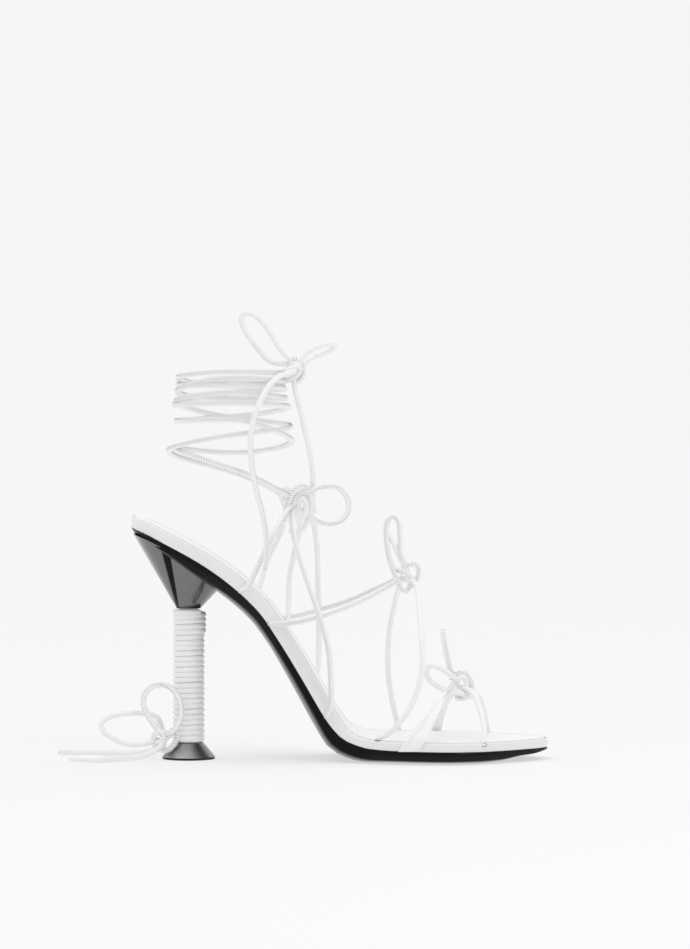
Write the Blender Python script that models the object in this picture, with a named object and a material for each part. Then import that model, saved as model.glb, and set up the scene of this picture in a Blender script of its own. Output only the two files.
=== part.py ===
"""A lace-up heeled sandal, one left shoe, standing on its sole.

The toe points along +X, the inner side of the foot is -Y and the floor is Z = 0.
"""
import math

import bmesh
import bpy
import numpy as np
from mathutils import Vector

# Driving sizes in metres
LENGTH = 0.2035
BALL_WIDTH = 0.0795
HEEL_RISE = 0.1094
OUTSOLE = 0.0060
RIM = 0.0065
SOCK = 0.0008
SOCK_INSET = 0.0016
CORD = 0.00275
GAP = 0.0003
HEEL_AXIS = -0.0742
CONE_DROP = 0.0463
COLUMN_RADIUS = 0.0047
WINDING_RADIUS = 0.0078
WINDING_TURNS = 25
CONE_FOOT_RADIUS = 0.0059
LIFT_HEIGHT = 0.0080
LIFT_RADIUS = 0.0130
TOP_PIECE = 0.0012
SEAT_LENGTH = 0.0410
SEAT_WIDTH = 0.0490
SEAT_BACK = 0.0063
ANKLE_X = -0.0530
ANKLE_LENGTH = 0.0516
ANKLE_WIDTH = 0.0540
TIE_TOP = 0.1890
KNOT_TURN = 0.0022
CORE = 0.0023
BAND_WIDTH = 0.00825
OUTSOLE_INSET = 0.0006
RIM_CORNER = 0.0010
FINE_CORNER = 0.0002
NARROWEST = 0.0004
WELD = 0.000002
HEEL_KNOT_HEIGHT = 0.0098
HEEL_KNOT_ACROSS = 0.0050

# The rim keeps this share of RIM round the toe, the footbed's top lies on it, and the heel cone
# reaches down from the heel seat to the column's top
TOE_RIM = 0.68
TOE_TOP = OUTSOLE + TOE_RIM * RIM
COLUMN_HEIGHT = TOE_TOP + HEEL_RISE - CONE_DROP

# How full a flattened band stays against a round cord
BAND_FULLNESS = 1.6

# Distances between the sections of a strap, a wide band and a loose cord
STRAP_STEP = 3.0 * CORD
BAND_STEP = 2.4 * CORD
CORD_STEP = 2.0 * CORD

# The sole, a row for each section from heel to toe: along and the half widths are shares of
# LENGTH and BALL_WIDTH, rise of HEEL_RISE, rim of RIM, edge and belly of OUTSOLE
SOLE_COLUMNS = ("along", "rise", "rim", "edge", "belly", "near", "far")
SOLE = (
    (-0.500, 1.000, 0.90, 0.55, 0.60, 0.315, 0.315),
    (-0.450, 0.962, 0.89, 0.48, 0.75, 0.320, 0.320),
    (-0.400, 0.916, 0.88, 0.49, 1.05, 0.326, 0.326),
    (-0.315, 0.829, 0.90, 0.80, 1.27, 0.325, 0.325),
    (-0.240, 0.731, 0.94, 0.62, 1.15, 0.305, 0.307),
    (-0.168, 0.606, 1.00, 0.45, 1.02, 0.262, 0.305),
    (-0.120, 0.475, 1.00, 0.42, 0.92, 0.243, 0.318),
    (-0.072, 0.330, 1.00, 0.42, 1.00, 0.250, 0.342),
    (-0.024, 0.178, 1.00, 0.45, 1.10, 0.280, 0.375),
    (0.000, 0.104, 0.95, 0.60, 1.20, 0.302, 0.393),
    (0.024, 0.046, 0.80, 0.80, 1.45, 0.330, 0.420),
    (0.048, 0.023, 0.70, 0.80, 1.45, 0.360, 0.440),
    (0.072, 0.012, 0.70, 0.78, 1.30, 0.390, 0.455),
    (0.145, 0.006, 0.70, 0.70, 1.15, 0.465, 0.482),
    (0.250, 0.002, 0.68, 0.68, 1.15, 0.500, 0.500),
    (0.325, 0.001, 0.68, 0.66, 1.12, 0.450, 0.464),
    (0.385, 0.000, 0.68, 0.60, 0.95, 0.345, 0.367),
    (0.432, 0.000, 0.68, 0.40, 0.62, 0.243, 0.272),
    (0.467, 0.000, 0.68, 0.32, 0.48, 0.156, 0.180),
    (0.488, 0.000, 0.68, 0.20, 0.28, 0.082, 0.102),
    (0.498, 0.000, 0.68, 0.13, 0.16, 0.028, 0.042),
    (0.500, 0.000, 0.68, 0.10, 0.12, 0.004, 0.016),
)
HEEL_ROUND = 0.0250
SEAT_SQUARENESS = 2.6
UNDERSIDE_BOW = 1.3
BACK_WALL = Vector((-0.14, 0, -1)).normalized()
SECTIONS = 34

# The lift under the column, a straight-sided cone: height is a share of LIFT_HEIGHT, and reach of
# LIFT_RADIUS
LIFT_COLUMNS = ("height", "reach")
LIFT = ((0.15, 1.00), (1.00, 0.55))

# The two laces round the ankle: turn counts whole turns from the front, height is a share of
# TIE_TOP, and swell widens the turn
LACE_COLUMNS = ("turn", "height", "swell")
LACE_NEAR_FIRST = (
    (0.09, 0.700, 1.02),
    (0.25, 0.756, 1.00),
    (0.50, 0.807, 1.12),
    (0.75, 0.793, 1.00),
    (1.00, 0.823, 1.14),
    (1.25, 0.880, 1.00),
    (1.50, 0.876, 1.06),
    (1.75, 0.888, 1.00),
    (2.00, 0.912, 1.08),
    (2.25, 0.922, 1.00),
    (2.50, 0.917, 1.10),
    (2.75, 0.951, 1.00),
    (3.00, 0.960, 1.00),
    (3.25, 0.967, 1.00),
    (3.50, 0.969, 1.02),
    (3.75, 0.985, 1.00),
    (3.96, 0.985, 0.96),
)
LACE_FAR_FIRST = (
    (0.09, 0.690, 1.02),
    (0.25, 0.741, 1.00),
    (0.50, 0.797, 1.20),
    (0.75, 0.840, 1.00),
    (1.00, 0.862, 1.12),
    (1.25, 0.885, 1.00),
    (1.50, 0.925, 1.06),
    (1.75, 0.949, 1.00),
    (2.00, 0.935, 1.02),
    (2.25, 0.934, 1.00),
    (2.50, 0.951, 1.04),
    (2.75, 0.985, 1.00),
    (3.00, 0.978, 1.00),
    (3.25, 0.969, 1.00),
    (3.50, 0.987, 1.02),
    (3.75, 1.003, 1.00),
    (3.96, 1.000, 0.96),
)


def column(rows, names, name):
    """One named column of a table, as an array."""
    return np.array([row[names.index(name)] for row in rows])


def smooth(xs, ys, at):
    """A curve through the rows that keeps their rises and falls, read at one place."""
    steps = np.diff(xs)
    slopes = np.diff(ys) / steps
    tangents = np.zeros(len(xs))
    for i in range(1, len(xs) - 1):
        before, after = slopes[i - 1], slopes[i]
        if before * after > 0:
            weight_a = 2 * steps[i] + steps[i - 1]
            weight_b = steps[i] + 2 * steps[i - 1]
            tangents[i] = (weight_a + weight_b) / (weight_a / before + weight_b / after)
    tangents[0], tangents[-1] = slopes[0], slopes[-1]
    at = min(max(at, xs[0]), xs[-1])
    i = int(min(np.searchsorted(xs, at, side="right") - 1, len(xs) - 2))
    t = (at - xs[i]) / steps[i]
    start = (1 + 2 * t) * (1 - t) ** 2 * ys[i] + t * (1 - t) ** 2 * steps[i] * tangents[i]
    end = t * t * (3 - 2 * t) * ys[i + 1] + t * t * (t - 1) * steps[i] * tangents[i + 1]
    return float(start + end)


def sole(name, along):
    """A column of the sole's table at a share of the length."""
    return smooth(
        column(SOLE, SOLE_COLUMNS, "along"), column(SOLE, SOLE_COLUMNS, name), along
    )


def top_line(along):
    """The middle of the footbed's top, with the sock on it, seen from the side."""
    return Vector((along * LENGTH, 0, TOE_TOP + sole("rise", along) * HEEL_RISE))


def down(along):
    """The direction square to the top line, into the sole, steeper at the very back."""
    run = top_line(min(along + 0.01, 0.5)) - top_line(max(along - 0.01, -0.5))
    square = Vector((run.z, 0, -run.x)).normalized()
    back = max(0.0, 1 - (along + 0.5) * LENGTH / HEEL_ROUND)
    return square.lerp(BACK_WALL, back).normalized()


def half_width(along, side):
    """How far the rim reaches from the middle: side is -1 on the inner side and 1 on the outer."""
    width = sole("near" if side < 0 else "far", along) * BALL_WIDTH
    back = (along + 0.5) * LENGTH / HEEL_ROUND
    if back < 1:
        width *= math.sqrt(max(1 - (1 - back) ** 2, 0.0004))
    return width


def stations(start=-0.5, end=0.5, count=SECTIONS):
    """Shares of the length for the sections, closer together at both ends."""
    steps = np.linspace(0, math.pi, count)
    eased = (1 - np.cos(steps)) / 2
    blend = 0.55 * eased + 0.45 * np.linspace(0, 1, count)
    return [start + (end - start) * float(b) for b in blend]


def material(name, color, roughness, metallic=0.0):
    made = bpy.data.materials.new(name)
    made.use_nodes = True
    shader = made.node_tree.nodes["Principled BSDF"]
    shader.inputs["Base Color"].default_value = (*color, 1)
    shader.inputs["Roughness"].default_value = roughness
    shader.inputs["Metallic"].default_value = metallic
    return made


def add(name, mesh, look):
    obj = bpy.data.objects.new(name, mesh)
    bpy.context.scene.collection.objects.link(obj)
    mesh.materials.append(look)
    return obj


def loft(name, rings, look):
    """A closed solid through rings of as many points each, with flat ends."""
    bm = bmesh.new()
    levels = [[bm.verts.new(point) for point in ring] for ring in rings]
    count = len(rings[0])
    for lower, upper in zip(levels, levels[1:]):
        for i in range(count):
            j = (i + 1) % count
            bm.faces.new((lower[i], lower[j], upper[j], upper[i]))
    bm.faces.new(levels[0][::-1])
    bm.faces.new(levels[-1])
    bmesh.ops.triangulate(bm, faces=bm.faces)
    bmesh.ops.recalc_face_normals(bm, faces=bm.faces)
    mesh = bpy.data.meshes.new(name)
    bm.to_mesh(mesh)
    bm.free()
    mesh.shade_smooth()
    mesh.set_sharp_from_angle(angle=math.radians(40))
    return add(name, mesh, look)


def keep_combined(obj, others, operation):
    """Joins or cuts a solid with others, and leaves only the result."""
    for i, other in enumerate(others):
        step = obj.modifiers.new(f"{operation.lower()}_{i}", "BOOLEAN")
        step.operation = operation
        step.object = other
    graph = bpy.context.evaluated_depsgraph_get()
    mesh = bpy.data.meshes.new_from_object(obj.evaluated_get(graph))
    obj.modifiers.clear()
    old = obj.data
    obj.data = mesh
    mesh.name = obj.name
    bpy.data.meshes.remove(old)
    for other in others:
        bpy.data.objects.remove(other)
    return obj


def slab_ring(along, upper, lower_edge, lower_middle, inset, corner):
    """A section square to the sole: flat above, rounded edges, and a bowed underside.

    Depths are measured down from the top line, and nothing goes below the floor.
    """
    middle = top_line(along)
    into = down(along)
    near = half_width(along, -1) - inset
    far = half_width(along, 1) - inset
    centre = (far - near) / 2
    reach = max((far + near) / 2, NARROWEST)
    round_off = min(corner, 0.4 * reach)
    points = []
    for side, depth, back in ((-1, upper, round_off), (0, upper, 0), (1, upper, round_off)):
        points.append((centre + side * (reach - back), depth))
    for turn in range(0, 9):
        angle = math.pi * turn / 8
        bow = math.sin(angle) ** UNDERSIDE_BOW
        depth = lower_edge + (lower_middle - lower_edge) * bow
        points.append((centre + reach * math.cos(angle), depth))
    middle_edge = (upper + lower_edge) / 2
    points.insert(3, (centre + reach, min(upper + round_off, middle_edge)))
    points.append((centre - reach, min(upper + round_off, middle_edge)))
    ring = []
    for across, depth in points:
        place = middle + into * depth
        ring.append(Vector((place.x, across, max(place.z, 0.0))))
    return ring


def rim_depth(along):
    return sole("rim", along) * RIM


def outsole_ring(along, extra=0.0, inset=0.0):
    rim = rim_depth(along) + GAP
    edge = rim + sole("edge", along) * OUTSOLE + extra
    belly = rim + sole("belly", along) * OUTSOLE + extra
    return slab_ring(along, rim, edge, belly, inset, FINE_CORNER)


def make_outsole(look):
    rings = [outsole_ring(along, inset=OUTSOLE_INSET) for along in stations()]
    return loft("outsole", rings, look)


def make_footbed(look):
    rings = []
    for along in stations():
        upper = SOCK + GAP
        lower = rim_depth(along)
        rings.append(slab_ring(along, upper, lower, lower, 0.0, RIM_CORNER))
    return loft("footbed", rings, look)


def make_sock(look):
    inset = SOCK_INSET / LENGTH
    rings = []
    for along in stations(-0.5 + inset, 0.5 - inset):
        rings.append(slab_ring(along, 0.0, SOCK, SOCK, SOCK_INSET, FINE_CORNER))
    return loft("insole_sock", rings, look)


def circle(radius, height, count, x=HEEL_AXIS):
    turns = [2 * math.pi * i / count for i in range(count)]
    return [
        Vector((x + radius * math.cos(a), radius * math.sin(a), height)) for a in turns
    ]


def seat_point(angle, spread):
    """A point of the heel's upper outline, a squarish oval, on the slanting seat."""
    power = SEAT_SQUARENESS
    away = (abs(math.cos(angle)) ** power + abs(math.sin(angle)) ** power) ** (-1 / power)
    x = HEEL_AXIS - SEAT_BACK + spread * away * math.cos(angle) * SEAT_LENGTH / 2
    y = spread * away * math.sin(angle) * SEAT_WIDTH / 2
    along = x / LENGTH
    depth = rim_depth(along) + sole("belly", along) * OUTSOLE
    place = top_line(along) + down(along) * depth
    slope = down(along)
    return Vector((x, y, place.z + (place.x - x) * slope.x / slope.z))


def make_heel_cone(look):
    count = 28
    base = circle(CONE_FOOT_RADIUS, COLUMN_HEIGHT + GAP, count)
    rim_points = [seat_point(2 * math.pi * i / count, 1.0) for i in range(count)]
    rings = []
    for share in (0.0, 0.5, 1.0, 1.10):
        rings.append([low.lerp(high, share) for low, high in zip(base, rim_points)])
    cone = loft("heel_cone", rings, look)
    cutter_rings = []
    for along in stations(-0.5, 0.1, 24):
        under = outsole_ring(along, extra=GAP)[4:-1]
        high = top_line(along) - down(along) * SEAT_WIDTH
        first, last = under[0], under[-1]
        ring = [Vector((high.x, -SEAT_WIDTH, high.z)), Vector((high.x, SEAT_WIDTH, high.z))]
        ring += [Vector((first.x, SEAT_WIDTH, first.z)), *under]
        ring.append(Vector((last.x, -SEAT_WIDTH, last.z)))
        cutter_rings.append(ring)
    further_back = Vector((-SEAT_LENGTH / 2, 0, SEAT_LENGTH / 5))
    behind = [point + further_back for point in cutter_rings[0]]
    cutter = loft("sole_cutter", [behind] + cutter_rings, look)
    return keep_combined(cone, [cutter], "DIFFERENCE")


def make_heel_column(look):
    low = LIFT_HEIGHT + GAP
    return loft(
        "heel_column",
        [circle(COLUMN_RADIUS, low, 20), circle(COLUMN_RADIUS, COLUMN_HEIGHT, 20)],
        look,
    )


def make_heel_winding(look):
    """The cord wound on the column, as a ribbed sleeve: a rib for each turn."""
    low = LIFT_HEIGHT + GAP
    pitch = (COLUMN_HEIGHT - low) / WINDING_TURNS
    count = 14
    inner = (COLUMN_RADIUS + GAP) / math.cos(math.pi / count)
    groove = WINDING_RADIUS - 0.35 * CORD
    rings = [circle(inner, low, count)]
    for turn in range(WINDING_TURNS):
        base = low + turn * pitch
        rings.append(circle(groove, base + (0.0 if turn == 0 else 0.08 * pitch), count))
        rings.append(circle(WINDING_RADIUS, base + 0.5 * pitch, count))
    rings.append(circle(groove, COLUMN_HEIGHT, count))
    rings.append(circle(inner, COLUMN_HEIGHT, count))
    bm = bmesh.new()
    levels = [[bm.verts.new(point) for point in ring] for ring in rings]
    for lower, upper in zip(levels, levels[1:] + levels[:1]):
        for i in range(count):
            j = (i + 1) % count
            bm.faces.new((lower[i], lower[j], upper[j], upper[i]))
    bmesh.ops.recalc_face_normals(bm, faces=bm.faces)
    mesh = bpy.data.meshes.new("heel_winding")
    bm.to_mesh(mesh)
    bm.free()
    mesh.shade_smooth()
    return add("heel_winding", mesh, look)


def make_heel_lift(look):
    heights = column(LIFT, LIFT_COLUMNS, "height") * LIFT_HEIGHT
    reaches = column(LIFT, LIFT_COLUMNS, "reach") * LIFT_RADIUS
    heights[0] = TOP_PIECE + GAP
    rings = [circle(reach, height, 28) for height, reach in zip(heights, reaches)]
    return loft("heel_lift", rings, look)


def make_top_piece(look):
    return loft(
        "top_piece", [circle(LIFT_RADIUS, 0.0, 28), circle(LIFT_RADIUS, TOP_PIECE, 28)], look
    )


def mm(x, y, z):
    """An offset written in millimetres."""
    return Vector((x, y, z)) / 1000


def spot(x, y, z):
    """A place above the sole: x in shares of LENGTH, y of BALL_WIDTH, z of TIE_TOP."""
    return Vector((x * LENGTH, y * BALL_WIDTH, z * TIE_TOP))


def rim_side(along, side, away=CORD / 2 + 3 * GAP):
    """A cord's centre beside the rim, level with the seam under it."""
    place = top_line(along) + down(along) * rim_depth(along)
    return Vector((place.x, side * (half_width(along, side) + away), place.z))


def rim_over(along, side, away=CORD / 2 + 3 * GAP):
    """A cord's centre beside the rim, level with the footbed's top."""
    place = top_line(along)
    return Vector((place.x, side * (half_width(along, side) + away), place.z))


def on_sock(along, across, above=0.0):
    """A cord's place just above the sock, across in shares of BALL_WIDTH."""
    lift = -down(along) * (4 * GAP + above)
    place = top_line(along) + lift
    return Vector((place.x, across * BALL_WIDTH, place.z))


def curve_points(route, step):
    """Evenly spaced points of a smooth curve through a route's own points."""
    points = [Vector(p) for p in route]
    ends = [2 * points[0] - points[1]] + points + [2 * points[-1] - points[-2]]
    fine = []
    for i in range(1, len(ends) - 2):
        p0, p1, p2, p3 = ends[i - 1 : i + 3]
        for k in range(16):
            t = k / 16
            a = 2 * p1 + (p2 - p0) * t
            b = (2 * p0 - 5 * p1 + 4 * p2 - p3) * t * t
            c = (3 * p1 - p0 - 3 * p2 + p3) * t ** 3
            fine.append((a + b + c) / 2)
    fine.append(points[-1])
    along = [0.0]
    for a, b in zip(fine, fine[1:]):
        along.append(along[-1] + (b - a).length)
    count = max(2, round(along[-1] / step) + 1)
    even = []
    for wanted in np.linspace(0, along[-1], count):
        i = int(min(np.searchsorted(along, wanted, side="right") - 1, len(fine) - 2))
        share = (wanted - along[i]) / max(along[i + 1] - along[i], 1e-9)
        even.append(fine[i].lerp(fine[i + 1], min(share, 1.0)))
    return even


def cord(name, route, look, step=CORD_STEP):
    """A round cord along a smooth curve through its route's points."""
    data = bpy.data.curves.new(name, "CURVE")
    data.dimensions = "3D"
    data.bevel_depth = CORD / 2
    data.bevel_resolution = 2
    data.use_fill_caps = True
    points = curve_points(route, step)
    spline = data.splines.new("POLY")
    spline.points.add(len(points) - 1)
    for target, place in zip(spline.points, points):
        target.co = (*place, 1)
    return add(name, data, look)


def tube(name, points, sides, look, thick=CORD, widths=None, up=None):
    """A tube with as many sides as asked, round or flattened, through points as they are."""
    rings = []
    normal = None
    for i, place in enumerate(points):
        ahead = points[min(i + 1, len(points) - 1)] - points[max(i - 1, 0)]
        ahead.normalize()
        if normal is None:
            normal = Vector((0, -1, 0.01)) if up is None else Vector(up)
        normal = (normal - ahead * normal.dot(ahead)).normalized()
        across = ahead.cross(normal)
        wide = thick / 2 if widths is None else widths[i] / 2
        tall = thick / 2
        if widths is not None:
            tall = min(thick, BAND_FULLNESS * thick * thick / widths[i]) / 2
        ring = []
        for k in range(sides):
            angle = 2 * math.pi * (k + 0.5) / sides
            ring.append(
                place + across * (wide * math.cos(angle)) + normal * (tall * math.sin(angle))
            )
        rings.append(ring)
    return loft(name, rings, look)


def strap_route(anchor, rows, knot):
    """From its anchor, through its rows, to just past the middle of the knot that it ends in."""
    middle = [spot(*row) for row in rows]
    end = knot + (knot - middle[-1]).normalized() * 0.25 * CORD
    return [*anchor, *middle, end]


def core(place, look):
    """The small ball of cord under a knot, where its straps meet."""
    bm = bmesh.new()
    bmesh.ops.create_icosphere(bm, subdivisions=2, radius=CORE)
    bmesh.ops.translate(bm, verts=bm.verts, vec=place)
    mesh = bpy.data.meshes.new("core")
    bm.to_mesh(mesh)
    bm.free()
    return add("core", mesh, look)


def joined(name, pieces):
    """Straps made one solid where they cross."""
    first = pieces[0]
    for other in pieces[1:]:
        keep_combined(first, [other], "UNION")
        bm = bmesh.new()
        bm.from_mesh(first.data)
        bmesh.ops.remove_doubles(bm, verts=bm.verts, dist=WELD)
        bmesh.ops.dissolve_degenerate(bm, edges=bm.edges, dist=WELD)
        bmesh.ops.triangulate(bm, faces=bm.faces)
        bm.to_mesh(first.data)
        bm.free()
    first.name = name
    first.data.name = name
    first.data.shade_smooth()
    return first


# The middles of the straps' crossings and of the top knot, as shares read by spot()
MID_KNOT = (-0.1150, -0.010, 0.655)
INSTEP_KNOT = (0.1480, 0.0, 0.468)
TOE_KNOT = (0.2920, 0.0, 0.186)
TOP_KNOT = (-0.1120, -0.012, 1.008)
MID_AXIS = (0.8, 0.0, 0.6)
INSTEP_AXIS = (0.7, 0.0, 0.7)
TOE_AXIS = (0.0, 0.0, 1.0)
TOP_AXIS = (0.9, 0.0, 0.4)
HEEL_KNOT_AXIS = (0.0, 1.0, 0.0)

# Where the two ankle laces come to the top knot, in millimetres from its middle
NEAR_FIRST_LANDS = (-5.6, 4.4, -1.6)
FAR_FIRST_LANDS = (-5.6, -4.4, -0.6)


def make_upper(look):
    """The straps over heel, waist and instep, joined at their two knots and where they cross."""
    mid = spot(*MID_KNOT)
    instep = spot(*INSTEP_KNOT)
    routes = {
        "near_heel": strap_route(
            (rim_side(-0.2205, -1), rim_over(-0.2165, -1)),
            ((-0.184, -0.38, 0.530), (-0.154, -0.36, 0.597), (-0.131, -0.20, 0.640)),
            mid,
        ),
        "far_heel": strap_route(
            (rim_side(-0.200, 1), rim_over(-0.1975, 1)),
            ((-0.178, 0.39, 0.510), (-0.146, 0.38, 0.580), (-0.132, 0.22, 0.630)),
            mid,
        ),
        "near_waist": strap_route(
            (rim_side(-0.0103, -1), rim_over(-0.021, -1)),
            (
                (-0.022, -0.37, 0.225),
                (-0.028, -0.43, 0.300),
                (-0.050, -0.45, 0.385),
                (-0.078, -0.40, 0.470),
                (-0.103, -0.31, 0.550),
                (-0.116, -0.16, 0.615),
            ),
            mid,
        ),
        "far_waist": strap_route(
            (rim_side(-0.060, 1), rim_over(-0.056, 1)),
            (
                (-0.052, 0.47, 0.290),
                (-0.053, 0.50, 0.380),
                (-0.055, 0.45, 0.470),
                (-0.057, 0.36, 0.550),
                (-0.070, 0.20, 0.618),
            ),
            mid,
        ),
        "far_rise": strap_route(
            (rim_side(-0.135, 1), rim_over(-0.130, 1)),
            (
                (-0.124, 0.44, 0.460),
                (-0.112, 0.42, 0.530),
                (-0.098, 0.28, 0.600),
            ),
            mid,
        ),
        "near_instep": strap_route(
            (rim_side(-0.1446, -1), rim_over(-0.1355, -1)),
            (
                (-0.100, -0.36, 0.363),
                (-0.050, -0.44, 0.378),
                (0.010, -0.44, 0.400),
                (0.065, -0.37, 0.425),
                (0.115, -0.18, 0.450),
            ),
            instep,
        ),
        "far_instep": strap_route(
            (rim_side(-0.142, 1), rim_over(-0.1366, 1)),
            (
                (-0.104, 0.44, 0.3625),
                (-0.025, 0.50, 0.385),
                (0.025, 0.48, 0.403),
                (0.078, 0.38, 0.430),
                (0.122, 0.18, 0.455),
            ),
            instep,
        ),
        "near_ball": strap_route(
            (on_sock(0.092, -0.385, 2 * GAP), on_sock(0.112, -0.400, 6 * GAP)),
            (
                (0.134, -0.440, 0.099),
                (0.168, -0.470, 0.150),
                (0.195, -0.480, 0.230),
                (0.197, -0.430, 0.315),
                (0.188, -0.270, 0.400),
            ),
            instep,
        ),
        "far_ball": strap_route(
            (rim_side(0.146, 1), rim_over(0.144, 1)),
            (
                (0.130, 0.500, 0.125),
                (0.118, 0.498, 0.210),
                (0.120, 0.460, 0.310),
                (0.135, 0.290, 0.405),
            ),
            instep,
        ),
    }
    pieces = []
    for name, route in routes.items():
        pieces.append(tube(name, curve_points(route, STRAP_STEP), 6, look))
    return joined("upper_straps", [core(mid, look), core(instep, look), *pieces])


def make_toe_straps(look):
    knot = spot(*TOE_KNOT)
    near = strap_route(
        (rim_side(0.163, -1), rim_over(0.172, -1)),
        ((0.196, -0.462, 0.0840), (0.2226, -0.360, 0.1275), (0.242, -0.215, 0.1520)),
        knot,
    )
    far = strap_route(
        (rim_side(0.232, 1), rim_over(0.236, 1)),
        ((0.250, 0.44, 0.112), (0.268, 0.26, 0.155)),
        knot,
    )
    near_toe = strap_route(
        (on_sock(0.344, -0.375),),
        ((0.343, -0.360, 0.092), (0.334, -0.270, 0.137), (0.318, -0.140, 0.175)),
        knot,
    )
    far_toe = strap_route(
        (rim_side(0.362, 1), rim_over(0.362, 1)),
        ((0.352, 0.360, 0.107), (0.338, 0.220, 0.155)),
        knot,
    )
    pieces = []
    for name, route in (("near_band", near), ("far_band", far)):
        points = curve_points(route, BAND_STEP)
        narrowing = [min(i / (0.75 * len(points)), 1.0) for i in range(len(points))]
        widths = [BAND_WIDTH + (CORD - BAND_WIDTH) * share for share in narrowing]
        pieces.append(tube(name, points, 8, look, widths=widths, up=(0, route[0].y, 0.01)))
    for name, route in (("near_toe", near_toe), ("far_toe", far_toe)):
        pieces.append(tube(name, curve_points(route, BAND_STEP), 6, look))
    return joined("toe_straps", [core(knot, look), *pieces])


def lace_points(rows, hand, start, end):
    """A lace wound up round the ankle, from the middle knot to the top one.

    Its hand is -1 to go by the inner side first. It starts with two points straight out of the
    middle crossing, and its end is beside the top knot.
    """
    turns = column(rows, LACE_COLUMNS, "turn")
    heights = column(rows, LACE_COLUMNS, "height")
    swells = column(rows, LACE_COLUMNS, "swell")
    points = list(start)
    count = round((turns[-1] - turns[0]) * 17)
    for turn in np.linspace(turns[0], turns[-1], count):
        angle = hand * 2 * math.pi * turn
        swell = smooth(turns, swells, turn)
        x = ANKLE_X + swell * (ANKLE_LENGTH / 2) * math.cos(angle)
        y = swell * (ANKLE_WIDTH / 2) * math.sin(angle)
        points.append(Vector((x, y, smooth(turns, heights, turn) * TIE_TOP)))
    return [*points, end]


def out_of_core(place, way):
    """A lace's first two points, straight out of a crossing."""
    way = Vector(way).normalized()
    return place + way * (CORE + 1.5 * GAP), place + way * (CORE + 1.4 * CORD)


def make_ankle_laces(look):
    mid = spot(*MID_KNOT)
    top = spot(*TOP_KNOT)
    near_start = out_of_core(mid, (-0.26, -0.54, 0.80))
    far_start = out_of_core(mid, (-0.62, 0.45, 0.64))
    near_end = seated(top, TOP_AXIS, top + mm(*NEAR_FIRST_LANDS))
    far_end = seated(top, TOP_AXIS, top + mm(*FAR_FIRST_LANDS))
    near_points = lace_points(LACE_NEAR_FIRST, -1, near_start, near_end)
    far_points = lace_points(LACE_FAR_FIRST, 1, far_start, far_end)
    near_first = tube("near_first", near_points, 6, look)
    far_first = tube("far_first", far_points, 6, look)
    return joined("ankle_laces", [near_first, far_first])


def above_core(place, axis):
    """Where a knot's middle lies when the knot sits on its core, out along its axis."""
    reach = CORE + CORD / 2 + GAP
    return place + Vector(axis).normalized() * math.sqrt(reach ** 2 - KNOT_TURN ** 2)


def seated(centre, axis, place):
    """The end of a cord that comes from a place and meets the knot's turn face to face."""
    axis = Vector(axis).normalized()
    flat = place - centre
    flat -= axis * flat.dot(axis)
    nearest = centre + flat.normalized() * KNOT_TURN
    return nearest + (place - nearest).normalized() * (CORD / 2 + 1.5 * GAP)


def make_knot(name, centre, axis, look):
    """A knot as one open turn of cord round its axis."""
    axis = Vector(axis).normalized()
    flat = axis.orthogonal().normalized()
    beside = axis.cross(flat)
    route = []
    for i in range(9):
        angle = math.radians(18 + 324 * i / 8)
        route.append(centre + KNOT_TURN * (flat * math.cos(angle) + beside * math.sin(angle)))
    return cord(name, route, look, step=0.9 * CORD)


def bow_cord(name, knot, axis, rows, look):
    """A loop of a bow, its hand-laid points in millimetres from the knot's middle."""
    route = [knot + mm(*row) for row in rows]
    first, last = seated(knot, axis, route[0]), seated(knot, axis, route[-1])
    return cord(name, [first, *route, last], look)


def end_cord(name, knot, axis, rows, look):
    """A loose end that starts at its knot."""
    route = [knot + mm(*row) for row in rows]
    return cord(name, [seated(knot, axis, route[0]), *route], look)


MID_LOOP = (
    (4.8, -1.0, 3.8), (8.3, -1.0, 6.4), (13.2, 0.0, 7.8), (19.1, 1.0, 7.4), (23.0, 1.5, 3.9),
    (25.0, 1.0, -1.0), (24.0, 0.5, -6.0), (20.0, 0.0, -9.6), (14.0, -1.0, -10.4),
    (8.6, -1.5, -8.6), (5.2, -2.0, -5.4),
)
INSTEP_LOOP = (
    (-0.6, -1.2, 4.9), (-2.6, -1.0, 10.1), (-3.0, 0.0, 18.5), (-3.8, 0.5, 25.4),
    (-6.2, 0.8, 27.9), (-8.9, 0.6, 26.1), (-9.9, 0.3, 21.5), (-9.4, 0.0, 13.6),
    (-7.9, 0.0, 6.2), (-5.8, 0.0, 2.0),
)
INSTEP_LOBE = (
    (4.2, -2.8, 0.6), (7.2, -2.6, 1.6), (9.0, -1.6, -1.6), (7.6, -0.8, -6.2),
    (4.2, -0.5, -7.8),
)
TOE_LOOP_TALL = (
    (-3.9, -1.7, 2.4), (-5.6, -3.4, 6.0), (-6.9, -4.4, 11.6), (-8.3, -3.6, 18.9),
    (-9.3, 0.0, 24.6), (-8.3, 3.6, 18.9), (-6.9, 4.4, 11.6), (-5.6, 3.4, 6.0),
    (-3.9, 1.7, 2.4),
)
TOE_LOOP_LOW = (
    (-2.4, -4.9, 0.8), (-6.0, -7.6, 3.4), (-9.0, -8.0, 5.7), (-12.7, -8.0, 7.4),
    (-16.0, -7.5, 7.2), (-17.4, -7.0, 4.2), (-15.2, -6.5, 0.3), (-11.0, -6.5, -3.0),
    (-7.0, -6.0, -4.2),
)
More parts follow.
